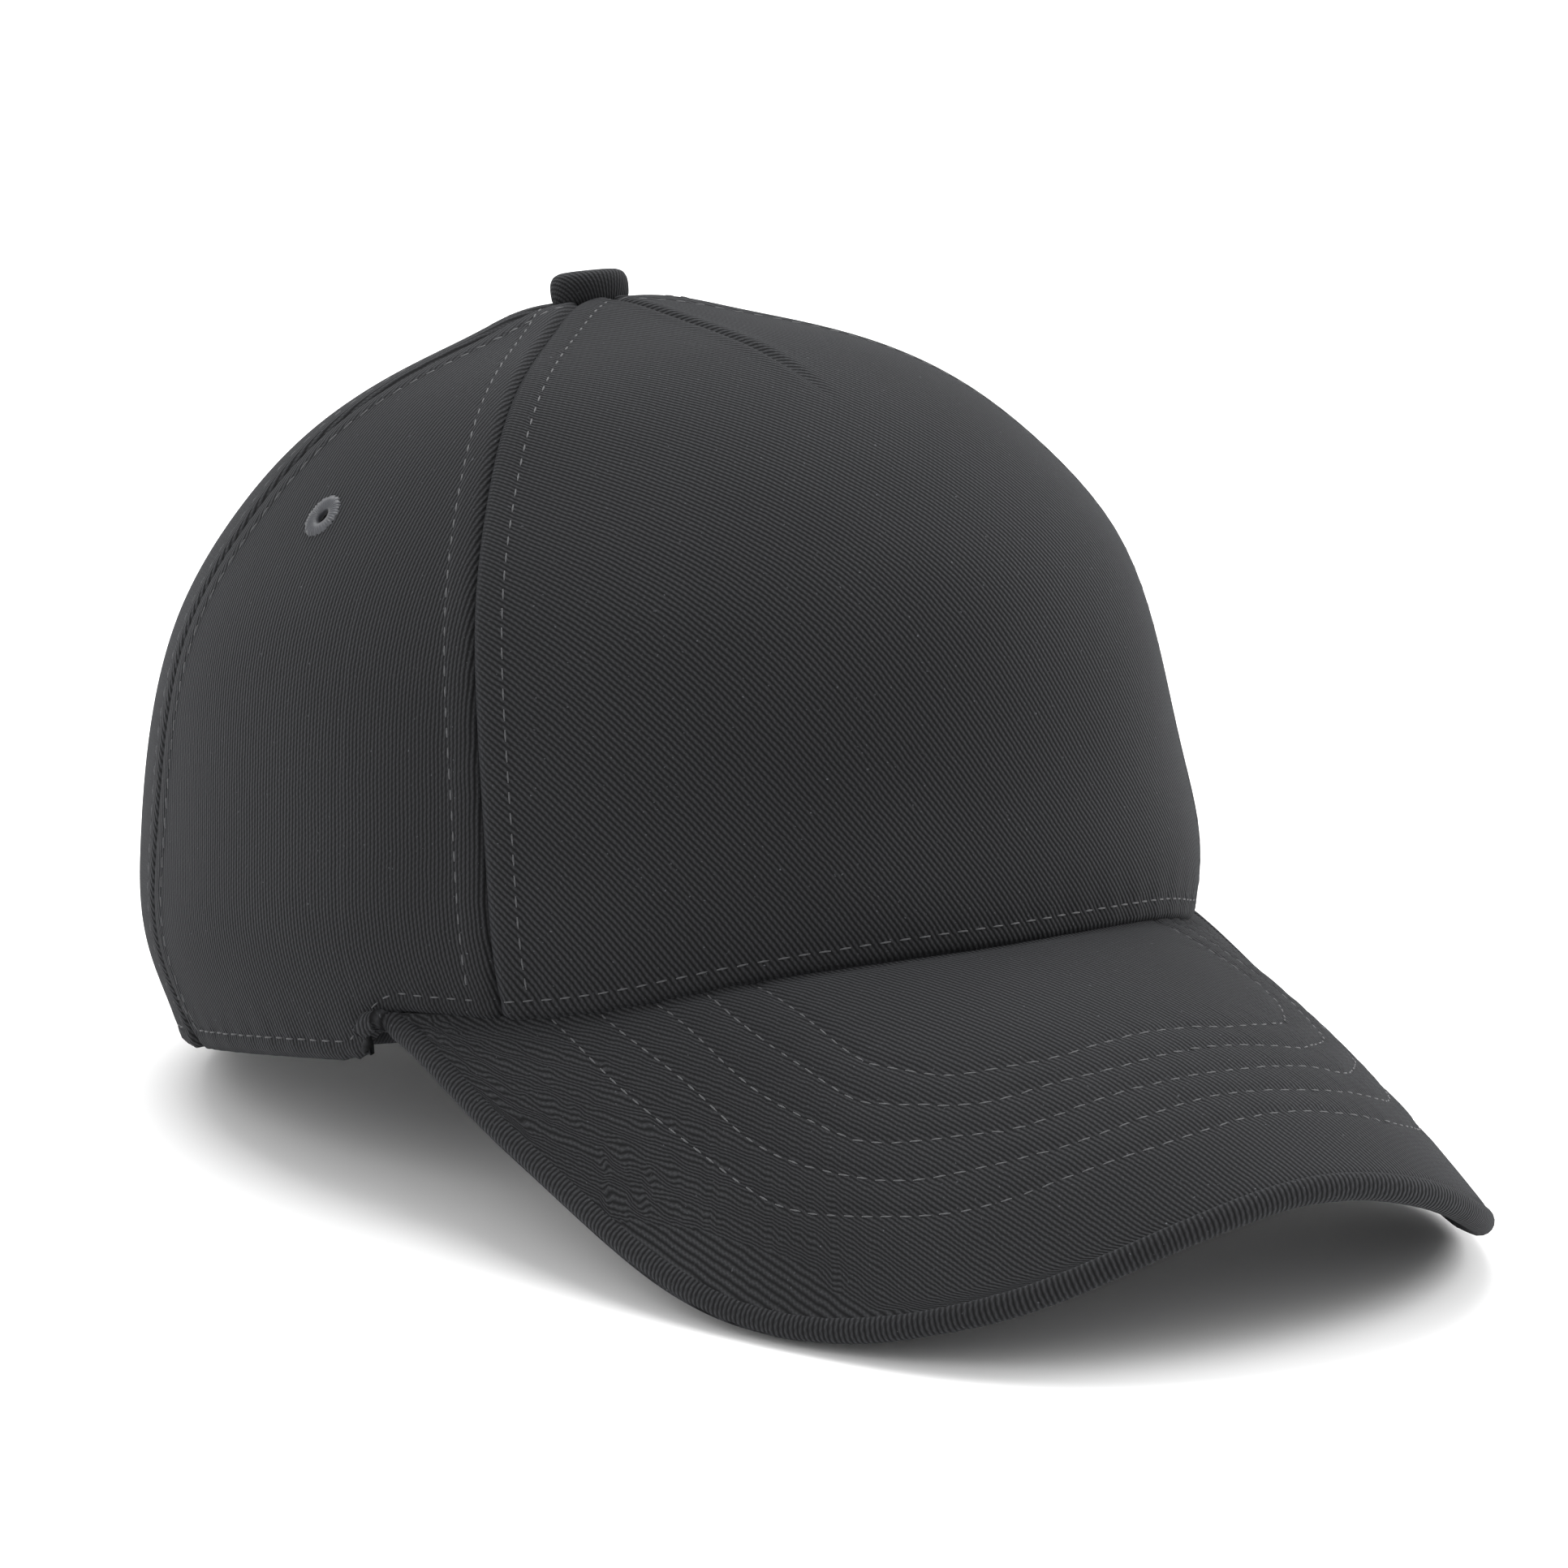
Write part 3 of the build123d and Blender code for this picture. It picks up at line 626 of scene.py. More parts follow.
def add_stitches(bm, line, normals, length=2.2 * MM, width=0.36 * MM, lift=0.0, pitch=STITCH_PITCH):
    """Short proud stitches along a line, each a small flattened capsule."""
    walk = run_along(line)
    count = int((walk[-1] - pitch) / pitch)
    for n in range(count):
        at = pitch * (n + 0.75)
        middle, ahead = walk_to(line, [at, at + 0.5 * MM], walk)
        out = Vector(walk_to(normals, [at], walk)[0]).normalized()
        way = Vector(ahead - middle).normalized()
        side = out.cross(way).normalized()
        turn = Matrix((way, side, out)).transposed().to_4x4()
        size = Matrix.Diagonal((length / 2, width / 2, width / 2, 1.0))
        place = Matrix.Translation(Vector(middle) + out * lift)
        bmesh.ops.create_uvsphere(bm, u_segments=6, v_segments=4, radius=1.0, matrix=place @ turn @ size)


# A bowed seam is given as a turn well inside the panel and one well past the seam.
SIDE_SEAM = (1.3, 2.9)
BACK_SEAM = (2.55, 1.2)


def mirrored(seam):
    """The same bowed seam on the wearer's right."""
    return -seam[0], -seam[1]


panel_cuts = {
    "front_panel": (-FRONT_SEAM, FRONT_SEAM, 150, 150),
    "side_panel_left": (FRONT_SEAM, SIDE_SEAM, 140, 130),
    "side_panel_right": (mirrored(SIDE_SEAM), -FRONT_SEAM, 140, 130),
    "back_panel_left": (BACK_SEAM, math.pi, 140, 140),
    "back_panel_right": (-math.pi, mirrored(BACK_SEAM), 140, 140),
}
panels = {}
for node, (low_seam, high_seam, rows, columns) in panel_cuts.items():
    zone = CORNER_ZONE if "side" in node else None
    panels[node] = crown_grid(node, low_seam, high_seam, rows, columns, bridge=zone)
panel_twills = {
    "front": twill_material("front_twill", 57.0),
    "side": twill_material("side_twill", 86.0),
    "back": twill_material("back_twill", 57.0),
}
eyelet_nodes = [node for node in frame["nodes"] if node.startswith("eyelet")]
holes = [(middle_of(node), 2.4 * MM) for node in eyelet_nodes]
rim_lines, seam_lines = {}, {}
crown_thread = bmesh.new()
for number, (node, pattern) in enumerate(panels.items()):
    low, high, rim = pattern.points[:, 0], pattern.points[:, -1], pattern.points[-1]
    rim_lines[node], seam_lines[node] = rim.copy(), (low.copy(), high.copy())
    from_low, run_low = line_distance(pattern.points, low)
    from_high, run_high = line_distance(pattern.points, high)
    from_rim, run_rim = line_distance(pattern.points, rim)
    relief = np.where(from_low < from_high, sewn_edge(from_low, run_low), sewn_edge(from_high, run_high))
    relief += rim_edge(from_rim, run_rim)
    calm = 1 - bell(from_low, 0, 8 * MM) * 0.6 - bell(from_high, 0, 8 * MM) * 0.6
    relief += 0.22 * MM * soft_noise(pattern.points, 34.0, number + 1) * calm
    if node == "front_panel":
        crest = pattern.points[:, pattern.points.shape[1] // 2]
        from_dart, run_dart = line_distance(pattern.points, crest[run_along(crest) < DART_LENGTH])
        fade = np.clip((DART_LENGTH - run_dart) / (22 * MM), 0, 1)
        fold = -0.75 * bell(from_dart, 0, 0.8 * MM)
        shoulder = 0.30 * bell(from_dart, 1.9 * MM, 1.4 * MM)
        relief += MM * fade * (fold + shoulder)
    pattern.push(relief)
    for field, inset, across_rows, last in (
        (from_low, SEAM_STITCH, True, False),
        (from_high, SEAM_STITCH, True, True),
        (from_rim, RIM_STITCH, False, True),
    ):
        line, out = contour(pattern, field, inset, rows=across_rows, backwards=last)
        add_stitches(crown_thread, line, out, lift=-0.02 * MM)
    twill = panel_twills[node.split("_")[0]]
    sheet = cloth_sheet(node.replace("panel", "twill"), pattern, twill, holes=holes)
    settle(sheet, node)
    declare(pattern)

# ---------------------------------------------------------------- thread
# Polyester sewing thread, a shade lighter than the cloth, with a faint gloss.


def thread_material(name, colour, roughness):
    """Sewing thread: a fine grain over an even colour."""
    material = plain_material(name, colour, roughness)
    tree = material.node_tree
    shader = tree.nodes["Principled BSDF"]
    shader.inputs["Sheen Weight"].default_value = 0.15
    place = tree.nodes.new("ShaderNodeTexCoord").outputs["Object"]
    grain = noise_node(tree, place, 2400.0, 2.0)
    tint = colour_mix(tree, grain, [c * 0.55 for c in colour], [c * 1.5 for c in colour])
    link(tree, tint, shader.inputs["Base Color"])
    return material


seam_thread = thread_material("seam_thread", (0.040, 0.041, 0.044), 0.6)
settle(new_piece("crown_topstitch", crown_thread, seam_thread), slot="eyelet_thread")

# ---------------------------------------------------------------- peak
# A pre-curved plastic board between two covers of twill, their edges turned round it and held
# by five rows of stitching. Its inner edge is caught in the seam with the front of the crown.
PEAK_ROLL = 1.85 * MM
PEAK_ROWS = [20 * MM, 27 * MM, 34 * MM, 41 * MM, 48 * MM]
PEAK_WALL = 0.6 * MM
COVER_LIFT = 0.22 * MM  # keeps the quilted cover clear of the board
HUB_INSET = 0.3 * MM
SEAM_TUCK = 2.5 * MM  # how far the covers run in under the crown
FULL_TUCK = 12 * MM  # where the peak is narrower than this, they run in less
STEEPEST = 1.5  # of the slopes that the flat pattern allows for
EDGE_INSET = 0.15 * MM  # a ray on the very edge would miss


def plan_hit(tree, x, y, from_above=True):
    """Height of the peak's upper or lower face over a point of the table, or None."""
    start = Vector((x, y, 0.2 if from_above else -0.1))
    way = Vector((0, 0, -1 if from_above else 1))
    hit = tree.ray_cast(start, way, 0.4)
    return None if hit[0] is None else hit[0].z


peak_tree = node_tree_of("peak_top_cover")
under_tree = node_tree_of("peak_under_cover")
peak_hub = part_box("peak_top_cover")[1].y - HUB_INSET


def peak_span(tree, turn, from_above=True):
    """Where a level line from the hub enters and leaves the peak."""
    way = (math.sin(turn), -math.cos(turn))

    def hits(r):
        return plan_hit(tree, way[0] * r, peak_hub + way[1] * r, from_above) is not None

    tries = np.linspace(0.02, 0.175, 220)
    inside = [r for r in tries if hits(r)]
    if not inside:
        return None
    near = edge_between(hits, inside[0], inside[0] - 1.5 * MM)
    return near, edge_between(hits, inside[-1], inside[-1] + 1.5 * MM)


def peak_grid(tree, rows, columns, tuck, from_above=True):
    """A grid over the peak: rows run out from the crown, columns from its right to its left."""
    wide = edge_between(lambda t: peak_span(tree, t, from_above) is not None, 1.2, 1.62)
    wide -= 0.004 if from_above else 0.02
    turns = np.linspace(-wide, wide, 361)
    spans = np.array([peak_span(tree, t, from_above) or (np.nan, np.nan) for t in turns])
    spans = fill_rows(spans.T).T
    edge = np.array([(math.sin(t) * s[1], -math.cos(t) * s[1]) for t, s in zip(turns, spans)])
    walk = run_along(edge)
    turns_out = np.interp(np.linspace(0, walk[-1], columns), walk, turns)
    near = np.interp(turns_out, turns, spans[:, 0])
    far = np.interp(turns_out, turns, spans[:, 1])
    points = np.zeros((rows, columns, 3))
    for i in range(columns):
        way = np.array([math.sin(turns_out[i]), -math.cos(turns_out[i])])
        radii = np.linspace(near[i] + EDGE_INSET, far[i] - EDGE_INSET, 70)
        flat = np.array([0.0, peak_hub]) + radii[:, None] * way
        found = [plan_hit(tree, x, y, from_above) for x, y in flat]
        heights = fill_gaps(np.array([np.nan if z is None else z for z in found], float))
        ray = np.column_stack([flat, heights])
        tucked = ray[0] - unit(ray[4] - ray[0]) * tuck * min(1.0, (far[i] - near[i]) / FULL_TUCK)
        ray = np.concatenate([[tucked], ray])
        run = run_along(ray)
        points[:, i] = walk_to(ray, np.linspace(0, run[-1], rows), run)
    points[:, :, 2] = blur(points[:, :, 2], 3)
    return points


def peak_pattern(points, flip=False):
    """Flat coordinates for the curved peak, from each point's slope, and normals facing up or down."""
    along, down = np.gradient(points, axis=1), np.gradient(points, axis=0)
    normals = np.cross(down, along)
    normals /= np.maximum(np.linalg.norm(normals, axis=2, keepdims=True), 1e-12)
    normals *= np.where(normals[:, :, 2:] < 0, -1.0, 1.0)
    slope = np.clip(np.abs(normals[:, :, 0] / np.maximum(np.abs(normals[:, :, 2]), 0.05)), 0, STEEPEST)
    stretch = np.where(slope > 1e-4, np.arcsinh(slope) / np.maximum(slope, 1e-4), 1.0)
    flat_u = points[:, :, 0] / 2 * (np.sqrt(1 + slope**2) + stretch)
    pattern = Pattern(points, flat_u, -points[:, :, 1] * 1.03)
    pattern.normals = -normals if flip else normals
    return pattern


def inset_rows(points, drop):
    """Pull a grid's outer edge in by a distance, so that a rolled edge can finish it."""
    lengths = np.concatenate(
        [np.zeros((1, points.shape[1])), np.cumsum(np.linalg.norm(np.diff(points, axis=0), axis=2), axis=0)]
    )
    out = points.copy()
    for i in range(points.shape[1]):
        total = lengths[-1, i]
        even = lengths[:, i] * max(total - drop, 0.2 * MM) / total
        out[:, i] = walk_to(points[:, i], even, lengths[:, i])
    return out


top_points = inset_rows(peak_grid(peak_tree, 74, 260, SEAM_TUCK), PEAK_ROLL * 0.9)
peak_top = peak_pattern(top_points)
to_edge, edge_run = line_distance(top_points, top_points[-1])
to_seam = line_distance(top_points, top_points[0])[0]
to_edge = to_edge + PEAK_ROLL
peak_relief = COVER_LIFT - 0.3 * MM * bell(to_seam, SEAM_TUCK, 1.5 * MM)
row_fields = []
for number, inset in enumerate(PEAK_ROWS):
    sway = 0.35 * MM * np.sin(edge_run * TURN / (45 * MM) + number * 1.9)
    row_fields.append(to_edge + sway)
    ripple = 0.75 + 0.25 * np.cos(edge_run * TURN / STITCH_PITCH)
    peak_relief += -0.42 * MM * bell(to_edge + sway, inset, 1.15 * MM) * ripple
    puckers = np.sin(edge_run * TURN / (8.1 * MM) + number * 2.4 + 1.5 * np.sin(edge_run * 190))
    peak_relief += 0.06 * MM * puckers * bell(to_edge, inset + 3.5 * MM, 2.6 * MM)
peak_relief += 0.12 * MM * soft_noise(top_points, 45.0, 9)
peak_top.points = peak_top.points + peak_top.normals * peak_relief[:, :, None]
peak_twill = twill_material("peak_twill", 78.0)
peak_cover = cloth_sheet("peak_cover_top", peak_top, peak_twill, thickness=PEAK_WALL)
settle(peak_cover, "peak_top_cover", slot="peak_twill")

peak_thread = bmesh.new()
for field, inset in zip(row_fields, PEAK_ROWS):
    line, out = contour(peak_top, field, inset, rows=False, backwards=True)
    add_stitches(peak_thread, line, out, length=2.4 * MM, width=0.34 * MM, lift=-0.03 * MM)
settle(new_piece("peak_topstitch", peak_thread, seam_thread), slot="eyelet_thread")

# The covers' edges are turned round the board in one smooth roll, the ribs running square
# across it. The under cover is plain, quilted by the same five rows.
edge_out = peak_top.normals[-1]
edge_line = peak_top.points[-1]
edge_side = unit(np.cross(unit(np.gradient(edge_line, axis=0)), edge_out))
inward = peak_top.points[-2] - edge_line
edge_side *= np.where((edge_side * inward).sum(axis=1, keepdims=True) > 0, -1.0, 1.0)
roll_angles = np.linspace(-0.25, 1.15, 13) * math.pi
roll_middle = edge_line - edge_out * PEAK_ROLL
roll_ways = [edge_out * math.cos(angle) + edge_side * math.sin(angle) for angle in roll_angles]
roll_points = np.array([roll_middle + PEAK_ROLL * way for way in roll_ways])
roll = Pattern(roll_points, *np.meshgrid(run_along(edge_line), roll_angles * PEAK_ROLL))
roll.normals = (roll_points - roll_middle) / PEAK_ROLL
edge_ribs = 0.05 * MM * np.cos(roll.flat_u * TURN / (1.7 * MM)) * bell(roll.flat_v, 2.9 * MM, 3.2 * MM)
roll.points = roll.points + roll.normals * edge_ribs[:, :, None]
edge_twill = twill_material("peak_edge_twill", 90.0, pitch=0.95 * MM, depth=0.3 * MM)
peak_edge = settle(cloth_sheet("peak_edge_roll", roll, edge_twill, thickness=0.5 * MM), slot="peak_twill")
declare(peak_top)

under_points = inset_rows(peak_grid(under_tree, 60, 200, SEAM_TUCK, from_above=False), PEAK_ROLL * 0.9)
under = peak_pattern(under_points, flip=True)
under_to_edge = line_distance(under_points, under_points[-1])[0] + PEAK_ROLL
under_relief = np.zeros(under.flat_u.shape)
for inset in PEAK_ROWS:
    under_relief += -0.3 * MM * bell(under_to_edge, inset, 1.2 * MM)
under_relief += 0.08 * MM * soft_noise(under_points, 40.0, 12)
under.points = under.points + under.normals * under_relief[:, :, None]
under_cover = cloth_sheet("peak_cover_under", under, peak_twill, thickness=0.5 * MM)
settle(under_cover, "peak_under_cover", slot="peak_twill")
declare(under)
under_thread = bmesh.new()
for inset in PEAK_ROWS:
    line, out = contour(under, under_to_edge, inset, rows=False, backwards=True)
    add_stitches(under_thread, line, out, length=2.4 * MM, width=0.4 * MM)
settle(new_piece("peak_understitch", under_thread, seam_thread), slot="eyelet_thread")

# ---------------------------------------------------------------- button
# A pressed aluminium shell covered in the cap's twill, its tack riveted through the five points.
BUTTON_RADIUS = 6.8 * MM
BUTTON_HEIGHT = 5.0 * MM
# shares of the radius and of the height, from the skirt up to the crest
BUTTON_PROFILE = (
    (0.62, -0.22),
    (0.90, -0.2),
    (0.985, 0.05),
    (1.0, 0.42),
    (0.975, 0.66),
    (0.89, 0.86),
    (0.72, 0.965),
    (0.45, 0.995),
    (0.0, 1.0),
)


def spin_profile(bm, steps, weld):
    """Turn a profile once round the upright axis into a closed skin."""
    whole = bm.verts[:] + bm.edges[:]
    axis, foot = (0, 0, 1), (0, 0, 0)
    bmesh.ops.spin(bm, geom=whole, axis=axis, cent=foot, angle=TURN, steps=steps, use_merge=True)
    bmesh.ops.remove_doubles(bm, verts=bm.verts[:], dist=weld)
    bmesh.ops.recalc_face_normals(bm, faces=bm.faces[:])


def stand(bm, place, up):
    """Set an upright shape on a place, along its own up direction."""
    turn = up.to_track_quat("Z", "Y").to_matrix().to_4x4()
    bmesh.ops.transform(bm, matrix=Matrix.Translation(place) @ turn, verts=bm.verts[:])


button_tree = node_tree_of("button_cover")
button_top = button_tree.ray_cast(middle_of("button_cover") + rim_up * 0.05, -rim_up, 0.1)[0]
button_base = button_top - rim_up * BUTTON_HEIGHT
bm = bmesh.new()
profile = [bm.verts.new((r * BUTTON_RADIUS, 0, h * BUTTON_HEIGHT)) for r, h in BUTTON_PROFILE]
edges = [bm.edges.new(pair) for pair in zip(profile, profile[1:])]
bmesh.ops.subdivide_edges(bm, edges=edges, cuts=1)
spin_profile(bm, 64, 0.01 * MM)
layer = bm.loops.layers.uv.new("pattern")
for face in bm.faces:
    for loop in face.loops:
        x, y, z = loop.vert.co
        r = math.hypot(x, y)
        spread = r + (BUTTON_HEIGHT - z) * min(r / (BUTTON_RADIUS * 0.7), 1.0)
        share = spread / max(r, 0.01 * MM)
        loop[layer].uv = (x * share, y * share)
stand(bm, button_base, rim_up)
button = new_piece("button_twill", bm, twill_material("button_twill", 84.0, depth=0.28 * MM))
smoother = button.modifiers.new("smoother", "SUBSURF")
smoother.levels = smoother.render_levels = 1
settle(button, "button_cover", slot="strap_twill")

# ---------------------------------------------------------------- eyelets
# Four stitched eyelets: a ring of thread worked closely over the edge of a punched hole.
eyelet_thread = thread_material("eyelet_satin", (0.030, 0.032, 0.038), 0.42)
EYELET_STRANDS = 40
EYELET_REACH = 6 * MM  # of the cloth round the hole that the ring lies on


def distances_from(points, middle):
    """Distance of each point of a grid from one place."""
    return np.linalg.norm(points - np.array(middle), axis=2)


for node in eyelet_nodes:
    centre = middle_of(node)
    out = (centre - crown_eye).normalized()
    for pattern in panels.values():
        near = distances_from(pattern.points, centre) < EYELET_REACH
        if near.any():
            out = Vector(pattern.normals[near].mean(axis=0)).normalized()
            nearby = pattern.points[near]
            centre += out * float(((nearby - np.array(centre)) @ np.array(out)).mean())
    bm = bmesh.new()
    ring = bmesh.ops.create_circle(bm, segments=20, radius=1.0)["verts"]
    for vert in ring:
        x, y = vert.co.x, vert.co.y
        vert.co = (2.68 * MM + 1.33 * MM * x, 0, 0.95 * MM * y - 0.42 * MM)
    spin_profile(bm, 160, 0.005 * MM)
    for vert in bm.verts:
        angle = math.atan2(vert.co.y, vert.co.x)
        r = math.hypot(vert.co.x, vert.co.y)
        strand = 0.5 + 0.5 * math.cos(angle * EYELET_STRANDS)
        ragged = 0.16 * MM * math.sin(angle * EYELET_STRANDS / 2 + 1.3 * math.sin(angle * 7))
        grow = 1 + (0.05 * strand + ragged / (4 * MM)) * max(0.0, (r - 2.6 * MM) / (1.4 * MM))
        vert.co.x *= grow
        vert.co.y *= grow
        vert.co.z += 0.13 * MM * strand * (1 if vert.co.z > -0.42 * MM else -1)
    stand(bm, centre, out)
    ring_piece = new_piece(node.replace("eyelet", "eyelet_ring"), bm, eyelet_thread)
    settle(ring_piece, node, slot="eyelet_thread")

# ---------------------------------------------------------------- inside of the crown
# Open buckram fused to the back of the front panel, and plain-woven cotton tapes sewn over
# the seams, the dart and the edge of the arch.


def plain_weave_group():
    """Over-and-under threads from a cloth-flat coordinate in metres."""
    group, given, sink, u, v = weave_tree("plain_weave", ["Pitch"], ["Height"])
    waves = []
    for run in (u, v):
        count = math_node(group, "DIVIDE", run, given["Pitch"])
        waves.append(math_node(group, "SINE", math_node(group, "MULTIPLY", count, math.pi)))
    crossed = math_node(group, "MULTIPLY", waves[0], waves[1])
    raised = math_node(group, "MULTIPLY_ADD", math_node(group, "ABSOLUTE", crossed), 0.7, 0.15)
    fuzz = noise_node(group, given["Flat"], 1800.0, 2.0)
    link(group, math_node(group, "MULTIPLY_ADD", fuzz, 0.3, raised), sink["Height"])
    return group


plain_group = plain_weave_group()


def plain_cloth(name, hollow_shade, light, pitch, roughness=0.85):
    """A plain-woven cloth: tape, buckram or label, by its threads' pitch, its own colour and the painted
    shade between its threads.
    """
    material = plain_material(name, light, roughness)
    tree = material.node_tree
    shader = tree.nodes["Principled BSDF"]
    shader.inputs["Sheen Weight"].default_value = 0.08
    weave = weave_node(tree, plain_group, pitch)
    # Painted shade: the colour darkens where the threads dip between their crossings.
    link(tree, colour_mix(tree, weave.outputs["Height"], hollow_shade, light), shader.inputs["Base Color"])
    raise_surface(tree, weave.outputs["Height"], 0.15 * MM)
    return material


# In each plain cloth the first colour is painted shade between the threads and the second is its own colour.
tape_cloth = plain_cloth("tape_cotton", (0.008, 0.008, 0.009), (0.035, 0.035, 0.038), 0.5 * MM)
buckram_cloth = plain_cloth("buckram_mesh", (0.02, 0.02, 0.02), (0.16, 0.16, 0.155), 0.9 * MM)
buckram = crown_grid("front_stiffener", (-0.3, -1.5), (0.3, 1.5), 70, 70, top=0.10, inside=True)
buckram.normals = -buckram.normals
buckram_sheet = cloth_sheet("buckram", buckram, buckram_cloth, thickness=0.5 * MM)
settle(buckram_sheet, "front_stiffener", slot="buckram")
declare(buckram)


def strip_on(tree, line, across, offsets):
    """A strip along a line: each point cast from the crown's eye on to a CAD piece, gaps filled."""
    eye = np.repeat(np.array(crown_eye)[None, :], len(line), axis=0)
    start = Vector(crown_eye)
    reaches = np.full((len(offsets), len(line)), np.nan)
    for n, offset in enumerate(offsets):
        for i, point in enumerate(line):
            way = (Vector(point + across[i] * offset) - start).normalized()
            hit = tree.ray_cast(start, way, SIGHT)[0]
            if hit is not None:
                reaches[n, i] = (hit - start).length
    reaches = blur(fill_rows(fill_rows(reaches.T).T), 3)
    ways = [unit(line + across * offset - eye) for offset in offsets]
    return np.array([eye + way * reach_row[:, None] for way, reach_row in zip(ways, reaches)])


def even_line(line, step):
    """A line of points, evenly spaced."""
    walk = run_along(line)
    return walk_to(line, np.linspace(0, walk[-1], max(int(walk[-1] / step), 4)), walk)


def across_line(line):
    """Directions in the cloth, square across a line on the crown."""
    return unit(np.cross(unit(line - np.array(crown_eye)), unit(np.gradient(line, axis=0))))


def strip_pattern(points, offsets, line):
    """The pattern of a straight strip laid on the crown's inside, facing inwards."""
    pattern = Pattern(points, *np.meshgrid(run_along(line), offsets)[::-1])
    pattern.normals = -pattern.normals
    return pattern


def tape_strip(name, node, line, width, start_at, end_at):
    """A tape laid over a seam, following the CAD tape's inner face."""
    line = even_line(line, 2.2 * MM)
    walk = np.linspace(0, 1, len(line)) * np.linalg.norm(np.diff(line, axis=0), axis=1).sum()
    line = line[(walk >= start_at) & (walk <= walk[-1] - end_at)]
    offsets = np.linspace(-width / 2, width / 2, 9)
    points = strip_on(node_tree_of(node), line, across_line(line), offsets)
    strip = strip_pattern(points, offsets, line)
    piece = cloth_sheet(name, strip, tape_cloth, thickness=0.45 * MM)
    settle(piece, node, slot="seam_tape")
    declare(strip)
    for inset in (width - TAPE_STITCH, TAPE_STITCH):
        share = inset / width * (len(offsets) - 1)
        k = int(share)
        row = points[k] * (1 - share + k) + points[k + 1] * (share - k)
        add_stitches(inside_thread, row, strip.normals[k], length=2.2 * MM, width=0.4 * MM)


TAPE_WIDTH = 11.6 * MM
TAPE_STITCH = 1.3 * MM  # in from each edge of a tape
TAPE_TOP = 18 * MM  # the tapes stop this far short of the button
inside_thread = bmesh.new()
tapes = {}
for side in ("left", "right"):
    low, high = seam_lines["side_panel_" + side]
    front_line, back_line = (low, high) if side == "left" else (high, low)
    tapes["front_" + side] = (front_line, 3 * MM)
    tapes["back_" + side] = (back_line, 3 * MM)
tapes["centre_back"] = (seam_lines["back_panel_left"][1], 10 * MM)
dart_line = panels["front_panel"].points[:, panels["front_panel"].points.shape[1] // 2]
tapes["dart"] = (dart_line[run_along(dart_line) < DART_LENGTH + 8 * MM], 0.0)
for name, (line, end_at) in tapes.items():
    tape_strip("tape_" + name, "seam_tape_" + name, line, TAPE_WIDTH, TAPE_TOP, end_at)
settle(new_piece("inside_topstitch", inside_thread, seam_thread), slot="eyelet_thread")

# The tape round the arch, laid as a flat strip along the back panels' rim; on the cap its cut edge is turned
# in.
arch_line = np.concatenate([rim_lines["back_panel_left"], rim_lines["back_panel_right"][1:]])
arch_half_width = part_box("back_arch_tape")[1].x - 8.5 * MM
arch_line = even_line(arch_line[np.abs(arch_line[:, 0]) < arch_half_width], 1.6 * MM)
arch_across = across_line(arch_line)
opening = np.array(middle_of("adjuster_strap"))
arch_across *= np.where(((arch_line - opening) * arch_across).sum(axis=1, keepdims=True) > 0, 1.0, -1.0)
arch_offsets = np.linspace(0.6 * MM, 9.8 * MM, 8)
arch_grid = strip_on(node_tree_of("back_arch_tape"), arch_line, arch_across, arch_offsets)
arch_strip = strip_pattern(arch_grid, arch_offsets, arch_line)
arch_tape = cloth_sheet("arch_tape", arch_strip, tape_cloth, thickness=0.55 * MM)
settle(arch_tape, "back_arch_tape", slot="seam_tape")

# ---------------------------------------------------------------- sweatband, label and strap
# The band is cotton twill over a thin foam lining, stitched along both edges. The closure is a
# strap of the cap's twill, sewn on the wearer's right and drawn through a metal flip clasp,
# which a short cloth loop holds on the left.
BAND_SIGHT = 0.17
BAND_STITCHES = (3 * MM, -4 * MM)  # in from the top edge and, below zero, from the lower edge
STRAP_STITCHES = (2 * MM, -2 * MM)
LOOP_RADIUS = 68 * MM


